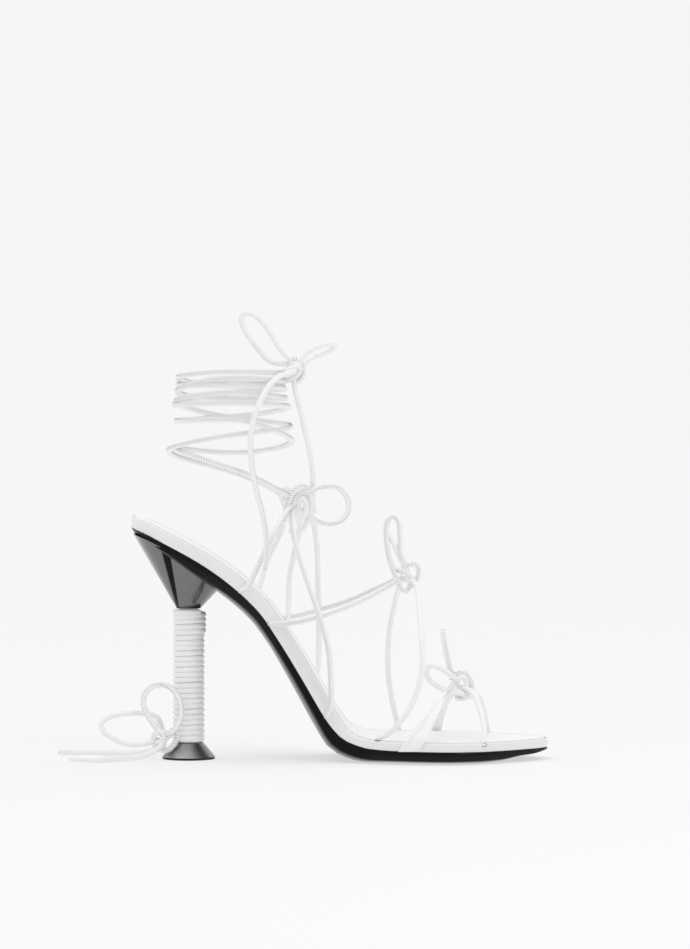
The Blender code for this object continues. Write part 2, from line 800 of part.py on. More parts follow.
TOP_LOOP_TALL = (
    (-4.6, 0.6, 3.2), (-8.0, 0.8, 3.4), (-11.8, 1.0, 4.6), (-15.7, 1.0, 8.4),
    (-20.6, 0.0, 14.6), (-24.0, 0.0, 20.1), (-25.6, 0.0, 24.3), (-24.4, 0.0, 27.3),
    (-21.6, 0.0, 27.9), (-18.1, 0.0, 26.2), (-14.7, 0.0, 23.0), (-10.8, 0.0, 17.6),
    (-7.8, -0.5, 12.3), (-4.2, -1.0, 7.8), (-1.4, -1.4, 5.2),
)
TOP_LOOP_SHORT = (
    (2.8, -2.8, 4.2), (8.8, -2.6, 9.8), (13.7, -2.0, 11.8), (18.1, -1.0, 12.9),
    (20.3, 0.3, 11.9), (18.6, 1.6, 10.0), (12.7, 2.2, 7.6), (7.8, 2.2, 5.4),
    (4.9, 1.4, 2.6),
)
TAIL_LONG = (
    (0.6, -5.6, -0.8), (-3.0, -9.5, -1.8), (-6.9, -16.5, -3.4), (-10.8, -23.0, -7.0),
    (-13.7, -27.5, -11.3), (-17.0, -31.0, -18.6), (-19.1, -31.5, -25.5),
    (-20.3, -33.0, -36.0), (-19.6, -33.5, -46.6), (-17.6, -34.0, -58.0),
    (-14.7, -34.0, -68.6), (-13.0, -34.0, -78.0), (-12.5, -34.0, -86.0),
    (-13.2, -34.0, -96.0),
)
TAIL_SHORT = (
    (0.2, -2.4, -5.2), (1.5, -4.0, -12.3), (3.4, -5.5, -19.6), (5.4, -6.5, -28.4),
    (7.4, -6.5, -36.8), (9.1, -3.0, -46.6), (9.5, 1.6, -55.0), (9.4, 4.4, -62.0),
    (10.2, 4.8, -70.0),
)
HEEL_LOOP_UPPER = (
    (-3.4, -2.4, 3.9), (-7.0, -3.0, 8.8), (-9.8, -3.0, 13.2), (-11.2, -3.0, 18.1),
    (-10.4, -3.4, 22.6), (-7.0, -4.0, 26.0), (-2.2, -4.8, 27.0), (2.4, -5.6, 25.5),
    (6.0, -6.0, 21.1), (7.4, -6.2, 15.2), (6.4, -6.0, 9.3), (3.8, -5.6, 5.0),
    (1.0, -5.0, 3.6),
)
HEEL_LOOP_LEFT = (
    (-1.9, 5.2, 1.6), (-2.8, 6.6, 5.4), (-5.0, 5.2, 10.4), (-10.4, 3.4, 12.5),
    (-17.8, 2.0, 12.7), (-25.1, 1.0, 11.8), (-30.5, 0.0, 9.8), (-32.0, -1.0, 7.0),
    (-30.5, -2.0, 3.6), (-26.6, -3.0, 1.0), (-21.7, -3.5, -1.3), (-15.3, -3.0, -2.3),
    (-9.0, -1.5, -1.6), (-5.2, 0.0, -0.4),
)
HEEL_END_BACK = (
    (-3.0, 3.4, -4.0), (-9.0, 7.0, -6.0), (-16.0, 14.0, -7.6), (-27.0, 22.0, -8.3),
    (-37.5, 26.0, -8.35), (-48.0, 26.5, -8.35), (-54.0, 24.0, -8.35),
)
HEEL_END_FRONT = (
    (-1.8, -5.0, -2.4), (-6.0, -8.5, -5.2), (-12.0, -8.6, -7.6), (-18.0, -9.5, -8.3),
    (-25.5, -15.0, -8.35), (-33.0, -19.0, -8.35), (-40.0, -15.5, -8.35),
    (-46.5, -8.0, -8.35),
)


def make_bows(look):
    """The knots, loops and ends, each lying 0.3 mm or so from what it comes out of."""
    mid = above_core(spot(*MID_KNOT), MID_AXIS)
    instep = above_core(spot(*INSTEP_KNOT), INSTEP_AXIS)
    toe = above_core(spot(*TOE_KNOT), TOE_AXIS)
    top = spot(*TOP_KNOT)
    beside = WINDING_RADIUS + GAP + KNOT_TURN + CORD / 2
    behind = math.sqrt(beside ** 2 - HEEL_KNOT_ACROSS ** 2)
    heel = Vector((HEEL_AXIS - behind, -HEEL_KNOT_ACROSS, HEEL_KNOT_HEIGHT))
    make_knot("mid_knot", mid, MID_AXIS, look)
    make_knot("instep_knot", instep, INSTEP_AXIS, look)
    make_knot("toe_knot", toe, TOE_AXIS, look)
    make_knot("top_knot", top, TOP_AXIS, look)
    make_knot("heel_knot", heel, HEEL_KNOT_AXIS, look)
    bow_cord("mid_loop", mid, MID_AXIS, MID_LOOP, look)
    bow_cord("instep_loop", instep, INSTEP_AXIS, INSTEP_LOOP, look)
    bow_cord("instep_lobe", instep, INSTEP_AXIS, INSTEP_LOBE, look)
    bow_cord("toe_loop_tall", toe, TOE_AXIS, TOE_LOOP_TALL, look)
    bow_cord("toe_loop_low", toe, TOE_AXIS, TOE_LOOP_LOW, look)
    bow_cord("top_loop_tall", top, TOP_AXIS, TOP_LOOP_TALL, look)
    bow_cord("top_loop_short", top, TOP_AXIS, TOP_LOOP_SHORT, look)
    end_cord("lace_end_long", top, TOP_AXIS, TAIL_LONG, look)
    end_cord("lace_end_short", top, TOP_AXIS, TAIL_SHORT, look)
    bow_cord("heel_loop_upper", heel, HEEL_KNOT_AXIS, HEEL_LOOP_UPPER, look)
    bow_cord("heel_loop_left", heel, HEEL_KNOT_AXIS, HEEL_LOOP_LEFT, look)
    end_cord("heel_end_back", heel, HEEL_KNOT_AXIS, HEEL_END_BACK, look)
    end_cord("heel_end_front", heel, HEEL_KNOT_AXIS, HEEL_END_FRONT, look)


def clear_scene():
    for obj in list(bpy.data.objects):
        bpy.data.objects.remove(obj)


def main():
    clear_scene()
    white = material("white_leather", (0.82, 0.82, 0.81), 0.42)
    lace = material("white_cord", (0.85, 0.85, 0.84), 0.50)
    black = material("black_gloss", (0.012, 0.012, 0.013), 0.16)
    metal = material("gunmetal", (0.20, 0.20, 0.20), 0.18, 1.0)
    rubber = material("black_rubber", (0.02, 0.02, 0.02), 0.60)
    make_outsole(black)
    make_footbed(white)
    make_sock(white)
    make_heel_cone(metal)
    make_heel_column(metal)
    make_heel_winding(lace)
    make_heel_lift(metal)
    make_top_piece(rubber)
    make_upper(lace)
    make_toe_straps(lace)
    make_ankle_laces(lace)
    make_bows(lace)


main()
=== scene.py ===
# %% [markdown]
# A lace-up heeled sandal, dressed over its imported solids.
# The real shoe is a black sole unit, a white leather footbed, a plated heel cone on a column
# wound with cord, and thin white leather cords that hold the foot. The cords are round, with a
# sewn side and a smooth side. Each piece here sits in the space of the solid that it replaces.

import math

import bmesh
import bpy
import numpy as np
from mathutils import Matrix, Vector


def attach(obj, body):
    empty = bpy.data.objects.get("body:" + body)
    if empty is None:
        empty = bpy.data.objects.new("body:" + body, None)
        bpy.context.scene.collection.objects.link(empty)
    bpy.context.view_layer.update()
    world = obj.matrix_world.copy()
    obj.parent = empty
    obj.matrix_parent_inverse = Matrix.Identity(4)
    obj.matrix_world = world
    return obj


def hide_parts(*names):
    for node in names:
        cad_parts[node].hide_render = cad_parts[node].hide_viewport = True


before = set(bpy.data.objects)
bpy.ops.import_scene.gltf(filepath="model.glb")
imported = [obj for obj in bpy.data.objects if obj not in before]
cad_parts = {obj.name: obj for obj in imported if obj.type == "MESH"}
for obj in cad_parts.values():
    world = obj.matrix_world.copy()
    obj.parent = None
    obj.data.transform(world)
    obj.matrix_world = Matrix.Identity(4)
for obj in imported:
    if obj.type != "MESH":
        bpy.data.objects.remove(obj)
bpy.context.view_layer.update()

# %% [markdown]
# The camera stands two metres away, level with the ankle, on the inner side of the foot.
# A long lens keeps the shoe's sides almost parallel, as a product photograph does.
# The tilt puts the horizon above the picture's middle.

# %% Camera
PICTURE_HEIGHT = 949
FOCAL_PIXELS = 4082
CAMERA_AWAY = 2.0
CAMERA_HEIGHT = 0.170
CAMERA_X = 0.00245
HORIZON_ABOVE_MIDDLE = 62.5


def shown(name, data):
    """An object for some data, put into the scene."""
    made = bpy.data.objects.new(name, data)
    bpy.context.scene.collection.objects.link(made)
    return made


camera_data = bpy.data.cameras.new("camera")
camera_data.sensor_width = 36
camera_data.lens = FOCAL_PIXELS * camera_data.sensor_width / PICTURE_HEIGHT
camera = shown("camera", camera_data)
camera.location = (CAMERA_X, -CAMERA_AWAY, CAMERA_HEIGHT)
down_tilt = math.atan(HORIZON_ABOVE_MIDDLE / FOCAL_PIXELS)
camera.rotation_euler = (math.pi / 2 - down_tilt, 0, 0)
bpy.context.scene.camera = camera
print("lens", round(camera_data.lens, 1))

# %% [markdown]
# All places follow a few sizes of the shoe, in metres. They were read off the photograph at the
# scale of a woman's size 37 sandal, and the solid model uses the same ones.

# %% The shoe's own sizes
# the sole: its plan length, its width at the ball, and the heights and layers along it
LENGTH = 0.2035
BALL_WIDTH = 0.0795
HEEL_RISE = 0.1094
OUTSOLE = 0.0060
OUTSOLE_INSET = 0.0006
RIM = 0.0065
SOCK = 0.0008
SOCK_INSET = 0.0016
TOE_RIM = 0.68
TOE_TOP = OUTSOLE + TOE_RIM * RIM
HEEL_ROUND = 0.0250
BACK_WALL = Vector((-0.14, 0, -1)).normalized()
UNDERSIDE_BOW = 1.3
UNDERCUT = 0.72
# the heel: a lift, a column wound with cord, and a cone up to the seat
HEEL_AXIS = -0.0742
LIFT_HEIGHT = 0.0080
LIFT_RADIUS = 0.0130
COLUMN_RADIUS = 0.0047
WINDING_RADIUS = 0.0078
WINDING_TURNS = 25
CONE_DROP = 0.0463
CONE_FOOT_RADIUS = 0.0059
COLUMN_HEIGHT = TOE_TOP + HEEL_RISE - CONE_DROP
SEAT_LENGTH = 0.0410
SEAT_WIDTH = 0.0490
SEAT_BACK = 0.0063
SEAT_SQUARENESS = 2.6
# the cords: their thickness, the room between pieces, and the knots' turns
CORD = 0.00275
GAP = 0.0003
CORE = 0.0023
KNOT_TURN = 0.0022
BAND_WIDTH = 0.00825
HEEL_KNOT_HEIGHT = 0.0098
HEEL_KNOT_ACROSS = 0.0050
# the ankle ties: the oval that they stand in, and their top
ANKLE_X = -0.0530
ANKLE_LENGTH = 0.0516
ANKLE_WIDTH = 0.0540
TIE_TOP = 0.1890
print("column height in mm", round(COLUMN_HEIGHT * 1000, 1))

# %% [markdown]
# The sole is a table with a row for each section from heel to toe: how high the top stands, how
# deep the rim, the sole's edge and its belly are, and how far each side reaches. A curve through
# its rows keeps their rises and falls, so the waist stays smooth between them, and the same curve
# places the straps' lower ends beside the rim.

# %% The sole's table
SOLE_COLUMNS = ("along", "rise", "rim", "edge", "belly", "near", "far")
SOLE = (
    (-0.500, 1.000, 0.90, 0.55, 0.60, 0.315, 0.315),
    (-0.450, 0.962, 0.89, 0.48, 0.75, 0.320, 0.320),
    (-0.400, 0.916, 0.88, 0.49, 1.05, 0.326, 0.326),
    (-0.315, 0.829, 0.90, 0.80, 1.27, 0.325, 0.325),
    (-0.240, 0.731, 0.94, 0.62, 1.15, 0.305, 0.307),
    (-0.168, 0.606, 1.00, 0.45, 1.02, 0.262, 0.305),
    (-0.120, 0.475, 1.00, 0.42, 0.92, 0.243, 0.318),
    (-0.072, 0.330, 1.00, 0.42, 1.00, 0.250, 0.342),
    (-0.024, 0.178, 1.00, 0.45, 1.10, 0.280, 0.375),
    (0.000, 0.104, 0.95, 0.60, 1.20, 0.302, 0.393),
    (0.024, 0.046, 0.80, 0.80, 1.45, 0.330, 0.420),
    (0.048, 0.023, 0.70, 0.80, 1.45, 0.360, 0.440),
    (0.072, 0.012, 0.70, 0.78, 1.30, 0.390, 0.455),
    (0.145, 0.006, 0.70, 0.70, 1.15, 0.465, 0.482),
    (0.250, 0.002, 0.68, 0.68, 1.15, 0.500, 0.500),
    (0.325, 0.001, 0.68, 0.66, 1.12, 0.450, 0.464),
    (0.385, 0.000, 0.68, 0.60, 0.95, 0.345, 0.367),
    (0.432, 0.000, 0.68, 0.40, 0.62, 0.243, 0.272),
    (0.467, 0.000, 0.68, 0.32, 0.48, 0.156, 0.180),
    (0.488, 0.000, 0.68, 0.20, 0.28, 0.082, 0.102),
    (0.498, 0.000, 0.68, 0.13, 0.16, 0.028, 0.042),
    (0.500, 0.000, 0.68, 0.10, 0.12, 0.004, 0.016),
)
NEARBY = 0.01
BLUNT_HEEL = 0.0004


def column(rows, names, name):
    """One named column of a table, as an array."""
    return np.array([row[names.index(name)] for row in rows])


def smooth(xs, ys, at):
    """A curve through the rows that keeps their rises and falls, read at one place."""
    steps = np.diff(xs)
    slopes = np.diff(ys) / steps
    tangents = np.zeros(len(xs))
    for i in range(1, len(xs) - 1):
        before, after = slopes[i - 1], slopes[i]
        if before * after > 0:
            weight_a = 2 * steps[i] + steps[i - 1]
            weight_b = steps[i] + 2 * steps[i - 1]
            tangents[i] = (weight_a + weight_b) / (weight_a / before + weight_b / after)
    tangents[0], tangents[-1] = slopes[0], slopes[-1]
    at = min(max(at, xs[0]), xs[-1])
    i = int(min(np.searchsorted(xs, at, side="right") - 1, len(xs) - 2))
    t = (at - xs[i]) / steps[i]
    start = (1 + 2 * t) * (1 - t) ** 2 * ys[i] + t * (1 - t) ** 2 * steps[i] * tangents[i]
    end = t * t * (3 - 2 * t) * ys[i + 1] + t * t * (t - 1) * steps[i] * tangents[i + 1]
    return float(start + end)


def sole(name, along):
    """A column of the sole's table at a share of the length."""
    return smooth(
        column(SOLE, SOLE_COLUMNS, "along"), column(SOLE, SOLE_COLUMNS, name), along
    )


def top_line(along):
    """The middle of the footbed's top, seen from the side."""
    return Vector((along * LENGTH, 0, TOE_TOP + sole("rise", along) * HEEL_RISE))


def down(along):
    """The direction square to the top line, into the sole, steeper at the very back."""
    run = top_line(min(along + NEARBY, 0.5)) - top_line(max(along - NEARBY, -0.5))
    square = Vector((run.z, 0, -run.x)).normalized()
    back = max(0.0, 1 - (along + 0.5) * LENGTH / HEEL_ROUND)
    return square.lerp(BACK_WALL, back).normalized()


def half_width(along, side):
    """How far the rim reaches from the middle: side is -1 on the inner side, 1 on the outer."""
    width = sole("near" if side < 0 else "far", along) * BALL_WIDTH
    back = (along + 0.5) * LENGTH / HEEL_ROUND
    if back < 1:
        width *= math.sqrt(max(1 - (1 - back) ** 2, BLUNT_HEEL))
    return width


def rim_depth(along):
    return sole("rim", along) * RIM


def mm(x, y, z):
    """An offset written in millimetres."""
    return Vector((x, y, z)) / 1000


def spot(x, y, z):
    """A place: x in shares of LENGTH, y of BALL_WIDTH, z of TIE_TOP."""
    return Vector((x * LENGTH, y * BALL_WIDTH, z * TIE_TOP))


print("heel seat height in mm", round(top_line(-0.5).z * 1000, 1))

# %% [markdown]
# A cord's route is a short list of given points, and a smooth curve runs through them.
# Evenly spaced points along that curve then carry the round tube, so no bend shows a corner.

# %% Smooth routes
def curve_points(route, step):
    """Evenly spaced points of a smooth curve through a route's own points."""
    points = [Vector(p) for p in route]
    ends = [2 * points[0] - points[1]] + points + [2 * points[-1] - points[-2]]
    fine = []
    for i in range(1, len(ends) - 2):
        p0, p1, p2, p3 = ends[i - 1 : i + 3]
        for k in range(16):
            t = k / 16
            a = 2 * p1 + (p2 - p0) * t
            b = (2 * p0 - 5 * p1 + 4 * p2 - p3) * t * t
            c = (3 * p1 - p0 - 3 * p2 + p3) * t ** 3
            fine.append((a + b + c) / 2)
    fine.append(points[-1])
    along = [0.0]
    for a, b in zip(fine, fine[1:]):
        along.append(along[-1] + (b - a).length)
    count = max(2, round(along[-1] / step) + 1)
    even = []
    for wanted in np.linspace(0, along[-1], count):
        i = int(min(np.searchsorted(along, wanted, side="right") - 1, len(fine) - 2))
        share = (wanted - along[i]) / max(along[i + 1] - along[i], 1e-9)
        even.append(fine[i].lerp(fine[i + 1], min(share, 1.0)))
    return even


def relaxed(points, rounds):
    """The same line with its small kinks evened out and its ends kept."""
    line = np.array([list(p) for p in points])
    for _ in range(rounds):
        line[1:-1] = 0.25 * line[:-2] + 0.5 * line[1:-1] + 0.25 * line[2:]
    return [Vector(p) for p in line]


def run_length(points):
    return sum((b - a).length for a, b in zip(points, points[1:]))


# %% [markdown]
# Real leather cord is sewn: a strip is folded round a core and stitched along one side, so one
# side shows a row of slanted stitches and the other is plain. A node tree makes both from any
# route: it sweeps a round profile, then sets a stitch at every pitch on the side that faces a
# given way. A twist lets that side wander round the cord as it does on a soft one.

# %% Node tree for a sewn cord
CORD_SIDES = 14
STITCH_PITCH = 0.00135
STITCH_SPAN = math.radians(115)
STITCH_THREAD = 0.00013
STITCH_SLANT = 0.6
STITCH_POINTS, THREAD_SIDES = 7, 5
CORD_INPUTS = {
    "Route": ("Geometry", None),
    "Radius": ("Float", CORD / 2),
    "Stitch Pitch": ("Float", STITCH_PITCH),
    "Stitch Thread": ("Float", STITCH_THREAD),
    "Sewn Side Faces": ("Vector", (0.0, -1.0, 0.0)),
    "Twist per Metre": ("Float", 0.0),
    "Stitch Slant": ("Float", STITCH_SLANT),
    "Sewn": ("Bool", True),
    "Cord Look": ("Material", None),
    "Stitch Look": ("Material", None),
}


def sockets(group, rows, way="INPUT"):
    """Named sockets on a node group, and the identifier of each."""
    keys = {}
    for name, (kind, default) in rows.items():
        made = group.interface.new_socket(name=name, in_out=way, socket_type="NodeSocket" + kind)
        if default is not None:
            made.default_value = default
        keys[name] = made.identifier
    return keys


def node(tree, kind, feeds=None, **values):
    """A new node; feeds gives each input a value, a socket, or a node's first open output."""
    made = tree.nodes.new(kind)
    for key, value in values.items():
        setattr(made, key, value)
    for key, feed in (feeds or {}).items():
        if isinstance(feed, bpy.types.Node):
            feed = next(socket for socket in feed.outputs if socket.enabled)
        if isinstance(feed, bpy.types.NodeSocket):
            tree.links.new(feed, made.inputs[key])
        else:
            made.inputs[key].default_value = feed
    return made


def reckoned(tree, operation, *feeds):
    """One step of arithmetic on numbers."""
    return node(tree, "ShaderNodeMath", dict(enumerate(feeds)), operation=operation)


def directed(tree, operation, feeds):
    """One step of arithmetic on directions."""
    return node(tree, "ShaderNodeVectorMath", feeds, operation=operation)


def sewn_side_node(tree, source, tangent):
    """The direction square to the cord that points to its sewn side."""
    faces = source["Sewn Side Faces"]
    share = directed(tree, "DOT_PRODUCT", {0: faces, 1: tangent})
    lengthwise = directed(tree, "SCALE", {0: tangent, "Scale": share})
    across = directed(tree, "SUBTRACT", {0: faces, 1: lengthwise})
    unit = directed(tree, "NORMALIZE", {0: across})
    number = node(tree, "GeometryNodeInputIndex")
    distance = reckoned(tree, "MULTIPLY", number, source["Stitch Pitch"])
    angle = reckoned(tree, "MULTIPLY", distance, source["Twist per Metre"])
    feeds = {"Vector": unit, "Axis": tangent, "Angle": angle}
    return node(tree, "ShaderNodeVectorRotate", feeds, rotation_type="AXIS_ANGLE")


def tube_node(tree, path, sides, radius):
    """A round tube along a path, with closed ends."""
    feeds = {"Resolution": sides, "Radius": radius}
    profile = node(tree, "GeometryNodeCurvePrimitiveCircle", feeds)
    feeds = {"Curve": path, "Profile Curve": profile, "Fill Caps": True}
    return node(tree, "GeometryNodeCurveToMesh", feeds)


def stitch_node(tree, source):
    """A thin raised arc for each stitch, slanted across the sewn side."""
    feeds = {"Curve": source["Route"], "Length": source["Stitch Pitch"]}
    spaced = node(tree, "GeometryNodeCurveToPoints", feeds, mode="LENGTH")
    tangent = spaced.outputs["Tangent"]
    side = sewn_side_node(tree, source, tangent)
    feeds = {"Primary Axis": side, "Secondary Axis": tangent}
    facing = node(tree, "FunctionNodeAxesToRotation", feeds, primary_axis="X", secondary_axis="Z")
    feeds = {"Axis": (1, 0, 0), "Angle": source["Stitch Slant"]}
    slant = node(tree, "FunctionNodeAxisAngleToRotation", feeds)
    feeds = {"Rotation": facing, "Rotate By": slant}
    lean = node(tree, "FunctionNodeRotateRotation", feeds, rotation_space="LOCAL")
    feeds = {"Resolution": STITCH_POINTS, "Radius": source["Radius"]}
    feeds |= {"Start Angle": -STITCH_SPAN / 2, "Sweep Angle": STITCH_SPAN}
    arc = node(tree, "GeometryNodeCurveArc", feeds)
    stitch = tube_node(tree, arc, THREAD_SIDES, source["Stitch Thread"])
    feeds = {"Points": spaced, "Instance": stitch, "Rotation": lean}
    stamp = node(tree, "GeometryNodeInstanceOnPoints", feeds)
    real = node(tree, "GeometryNodeRealizeInstances", {"Geometry": stamp})
    feeds = {"Geometry": real, "Material": source["Stitch Look"]}
    look = node(tree, "GeometryNodeSetMaterial", feeds)
    feeds = {"Switch": source["Sewn"], "True": look}
    return node(tree, "GeometryNodeSwitch", feeds, input_type="GEOMETRY")


def build_cord_tree():
    tree = bpy.data.node_groups.new("sewn_cord", "GeometryNodeTree")
    keys = sockets(tree, CORD_INPUTS)
    sockets(tree, {"Cord": ("Geometry", None)}, "OUTPUT")
    source = node(tree, "NodeGroupInput").outputs
    both = node(tree, "GeometryNodeJoinGeometry", {"Geometry": stitch_node(tree, source)})
    tube = tube_node(tree, source["Route"], CORD_SIDES, source["Radius"])
    feeds = {"Geometry": tube, "Material": source["Cord Look"]}
    look = node(tree, "GeometryNodeSetMaterial", feeds)
    tree.links.new(look.outputs["Geometry"], both.inputs["Geometry"])
    shade = node(tree, "GeometryNodeSetShadeSmooth", {"Geometry": both})
    node(tree, "NodeGroupOutput", {"Cord": shade})
    return tree, keys


cord_tree, CORD_KEYS = build_cord_tree()
print("cord tree nodes", len(cord_tree.nodes))

# %% [markdown]
# Leather is never quite even, so its finish is a grain that lifts the light a little and changes
# the gloss from place to place. One group makes that grain for every finish here, and each finish
# gives it a scale and a depth. Plated metal takes the same group with hardly any depth.
# The cone's plate mirrors the dark room as a dark leaning line, and a second group paints that
# reflection into the plate's colour as a tint.

# %% Finishes
CENTRE = 0.5
GRAIN_LIFT = 0.0002
COAT_ROUGHNESS = 0.25
LINE_EDGE = 0.0002
PAINTED_REFLECTION_LINE = {"Foot": -0.0660, "Lean": -0.18, "Width": -0.00263, "Widening": 0.045}


def grey(level, blue=0.0):
    return (level, level, level + blue, 1)


def build_grain_group():
    """Fine leather grain: a bump normal and a small change of roughness."""
    group = bpy.data.node_groups.new("leather_grain", "ShaderNodeTree")
    starts = {"Scale": 900.0, "Depth": 0.1, "Roughness": 0.45, "Spread": 0.06}
    sockets(group, {name: ("Float", value) for name, value in starts.items()})
    sockets(group, {"Normal": ("Vector", None), "Roughness": ("Float", None)}, "OUTPUT")
    source = node(group, "NodeGroupInput").outputs
    place = node(group, "ShaderNodeTexCoord").outputs["Object"]
    feeds = {"Vector": place, "Scale": source["Scale"]}
    cells = node(group, "ShaderNodeTexVoronoi", feeds, feature="DISTANCE_TO_EDGE")
    cloud = node(group, "ShaderNodeTexNoise", {**feeds, "Detail": 4.0}).outputs["Fac"]
    height = reckoned(group, "MULTIPLY_ADD", cells, CENTRE, cloud)
    feeds = {"Strength": source["Depth"], "Distance": GRAIN_LIFT, "Height": height}
    bump = node(group, "ShaderNodeBump", feeds)
    centred = reckoned(group, "SUBTRACT", cloud, CENTRE)
    rough = reckoned(group, "MULTIPLY_ADD", centred, source["Spread"], source["Roughness"])
    node(group, "NodeGroupOutput", {"Normal": bump, "Roughness": rough})
    return group


grain_group = build_grain_group()


def finish(name, color, roughness, depth, scale, specular=0.5, coat=0.0, metallic=0.0):
    """A material with the shared grain; depth and scale are the grain's."""
    made = bpy.data.materials.new(name)
    made.use_nodes = True
    tree = made.node_tree
    shader = tree.nodes["Principled BSDF"]
    shader.inputs["Specular IOR Level"].default_value = specular
    shader.inputs["Coat Weight"].default_value = coat
    shader.inputs["Coat Roughness"].default_value = COAT_ROUGHNESS
    shader.inputs["Base Color"].default_value = color
    shader.inputs["Metallic"].default_value = metallic
    feeds = {"Scale": scale, "Depth": depth, "Roughness": roughness}
    grain = node(tree, "ShaderNodeGroup", feeds, node_tree=grain_group)
    tree.links.new(grain.outputs["Normal"], shader.inputs["Normal"])
    tree.links.new(grain.outputs["Roughness"], shader.inputs["Roughness"])
    return made


PLATE = grey(0.19, 0.005)
cord_look = finish("cord_leather", grey(0.93), 0.42, 0.25, 1500.0)
# The stitch arcs are real; their darker grey is painted shade that stands for the shading of the
# needle slots.
stitch_shade_look = finish("cord_stitches_painted_shade", grey(0.50), 0.55, 0.15, 2200.0)
rim_look = finish("rim_leather", grey(0.86), 0.36, 0.20, 700.0, coat=0.15)
sock_look = finish("sock_leather", grey(0.90), 0.44, 0.35, 520.0)
gloss_look = finish("black_gloss", grey(0.006, 0.0005), 0.20, 0.03, 300.0, specular=0.18)
rubber_look = finish("black_rubber", grey(0.020), 0.60, 0.20, 900.0)
hole_look = finish("hole_shadow", grey(0.015), 0.80, 0.0, 300.0)
grommet_look = finish("eyelet_rim", grey(0.10), 0.45, 0.05, 700.0)
# One grey serves the slit's raised edge and the painted shade line in the groove round the sock.
edge_and_groove_shade_look = finish("pressed_edge_and_groove_shade", grey(0.45), 0.50, 0.10, 700.0)
metal_look = finish("gunmetal", PLATE, 0.13, 0.02, 260.0, metallic=1.0)
lift_look = finish("gunmetal_lift", grey(0.30, 0.005), 0.34, 0.02, 260.0, metallic=1.0)
cone_look = finish("gunmetal_cone", PLATE, 0.13, 0.02, 260.0, metallic=1.0)


def build_painted_reflection_group():
    """A painted reflection: a dark line that leans across the plate and widens upward, where the
    plate mirrors the dark room.
    """
    group = bpy.data.node_groups.new("painted_reflection_line", "ShaderNodeTree")
    sockets(group, {name: ("Float", value) for name, value in PAINTED_REFLECTION_LINE.items()})
    sockets(group, {"Plate": ("Color", PLATE), "Line": ("Color", grey(0.012, 0.001))})
    sockets(group, {"Color": ("Color", None)}, "OUTPUT")
    source = node(group, "NodeGroupInput").outputs
    place = node(group, "ShaderNodeTexCoord").outputs["Object"]
    split = node(group, "ShaderNodeSeparateXYZ", {"Vector": place}).outputs
    middle = reckoned(group, "MULTIPLY_ADD", split["Z"], source["Lean"], source["Foot"])
    beside = reckoned(group, "SUBTRACT", split["X"], middle)
    width = reckoned(group, "MULTIPLY_ADD", split["Z"], source["Widening"], source["Width"])
    over = reckoned(group, "SUBTRACT", reckoned(group, "ABSOLUTE", beside), width)
    feeds = {"Value": over, "From Min": -LINE_EDGE, "From Max": LINE_EDGE}
    edge = node(group, "ShaderNodeMapRange", feeds)
    feeds = {"Factor": edge, 6: source["Line"], 7: source["Plate"]}
    blend = node(group, "ShaderNodeMix", feeds, data_type="RGBA")
    node(group, "NodeGroupOutput", {"Color": blend})
    return group


# Painted reflection: the cone's base colour takes the dark line that stands for the dark room
# mirrored in the plate.
cone_tree = cone_look.node_tree
corner = node(cone_tree, "ShaderNodeGroup", node_tree=build_painted_reflection_group())
base_color = cone_tree.nodes["Principled BSDF"].inputs["Base Color"]
cone_tree.links.new(corner.outputs["Color"], base_color)
print("finishes", len(bpy.data.materials))

# %% [markdown]
# Five bows hold the sandal: four down the front and one at the foot of the heel. Each front knot
# sits on a small core of cord where its straps cross, and its axis says which way is out. The
# heel's knot leans on the winding.

# %% Where the knots sit
MID_KNOT = (-0.1150, -0.010, 0.655)
INSTEP_KNOT = (0.1480, 0.0, 0.468)
TOE_KNOT = (0.2920, 0.0, 0.186)
TOP_KNOT = (-0.1120, -0.012, 1.008)
MID_AXIS = (0.8, 0.0, 0.6)
INSTEP_AXIS = (0.7, 0.0, 0.7)
TOE_AXIS = (0.0, 0.0, 1.0)
TOP_AXIS = (0.9, 0.0, 0.4)
HEEL_KNOT_AXIS = (0.0, 1.0, 0.0)


def above_core(place, axis):
    """Where a knot's middle lies when the knot sits on its core, out along its axis."""
    reach = CORE + CORD / 2 + GAP
    return place + Vector(axis).normalized() * math.sqrt(reach ** 2 - KNOT_TURN ** 2)


def seated(centre, axis, place):
    """The end of a cord that comes from a place and meets the knot's turn."""
    axis = Vector(axis).normalized()
    flat = place - centre
    flat -= axis * flat.dot(axis)
    nearest = centre + flat.normalized() * KNOT_TURN
    return nearest + (place - nearest).normalized() * (CORD / 2 + 1.5 * GAP)


toe_knot = above_core(spot(*TOE_KNOT), TOE_AXIS)
heel_beside = WINDING_RADIUS + GAP + KNOT_TURN + CORD / 2
heel_behind = math.sqrt(heel_beside ** 2 - HEEL_KNOT_ACROSS ** 2)
heel_knot = Vector((HEEL_AXIS - heel_behind, -HEEL_KNOT_ACROSS, HEEL_KNOT_HEIGHT))
KNOT_AT = {
    "mid_knot": (above_core(spot(*MID_KNOT), MID_AXIS), MID_AXIS),
    "instep_knot": (above_core(spot(*INSTEP_KNOT), INSTEP_AXIS), INSTEP_AXIS),
    "toe_knot": (toe_knot, TOE_AXIS),
    "top_knot": (spot(*TOP_KNOT), TOP_AXIS),
    "heel_knot": (heel_knot, HEEL_KNOT_AXIS),
}
print("knots", {name: [round(v * 1000) for v in place] for name, (place, _) in KNOT_AT.items()})
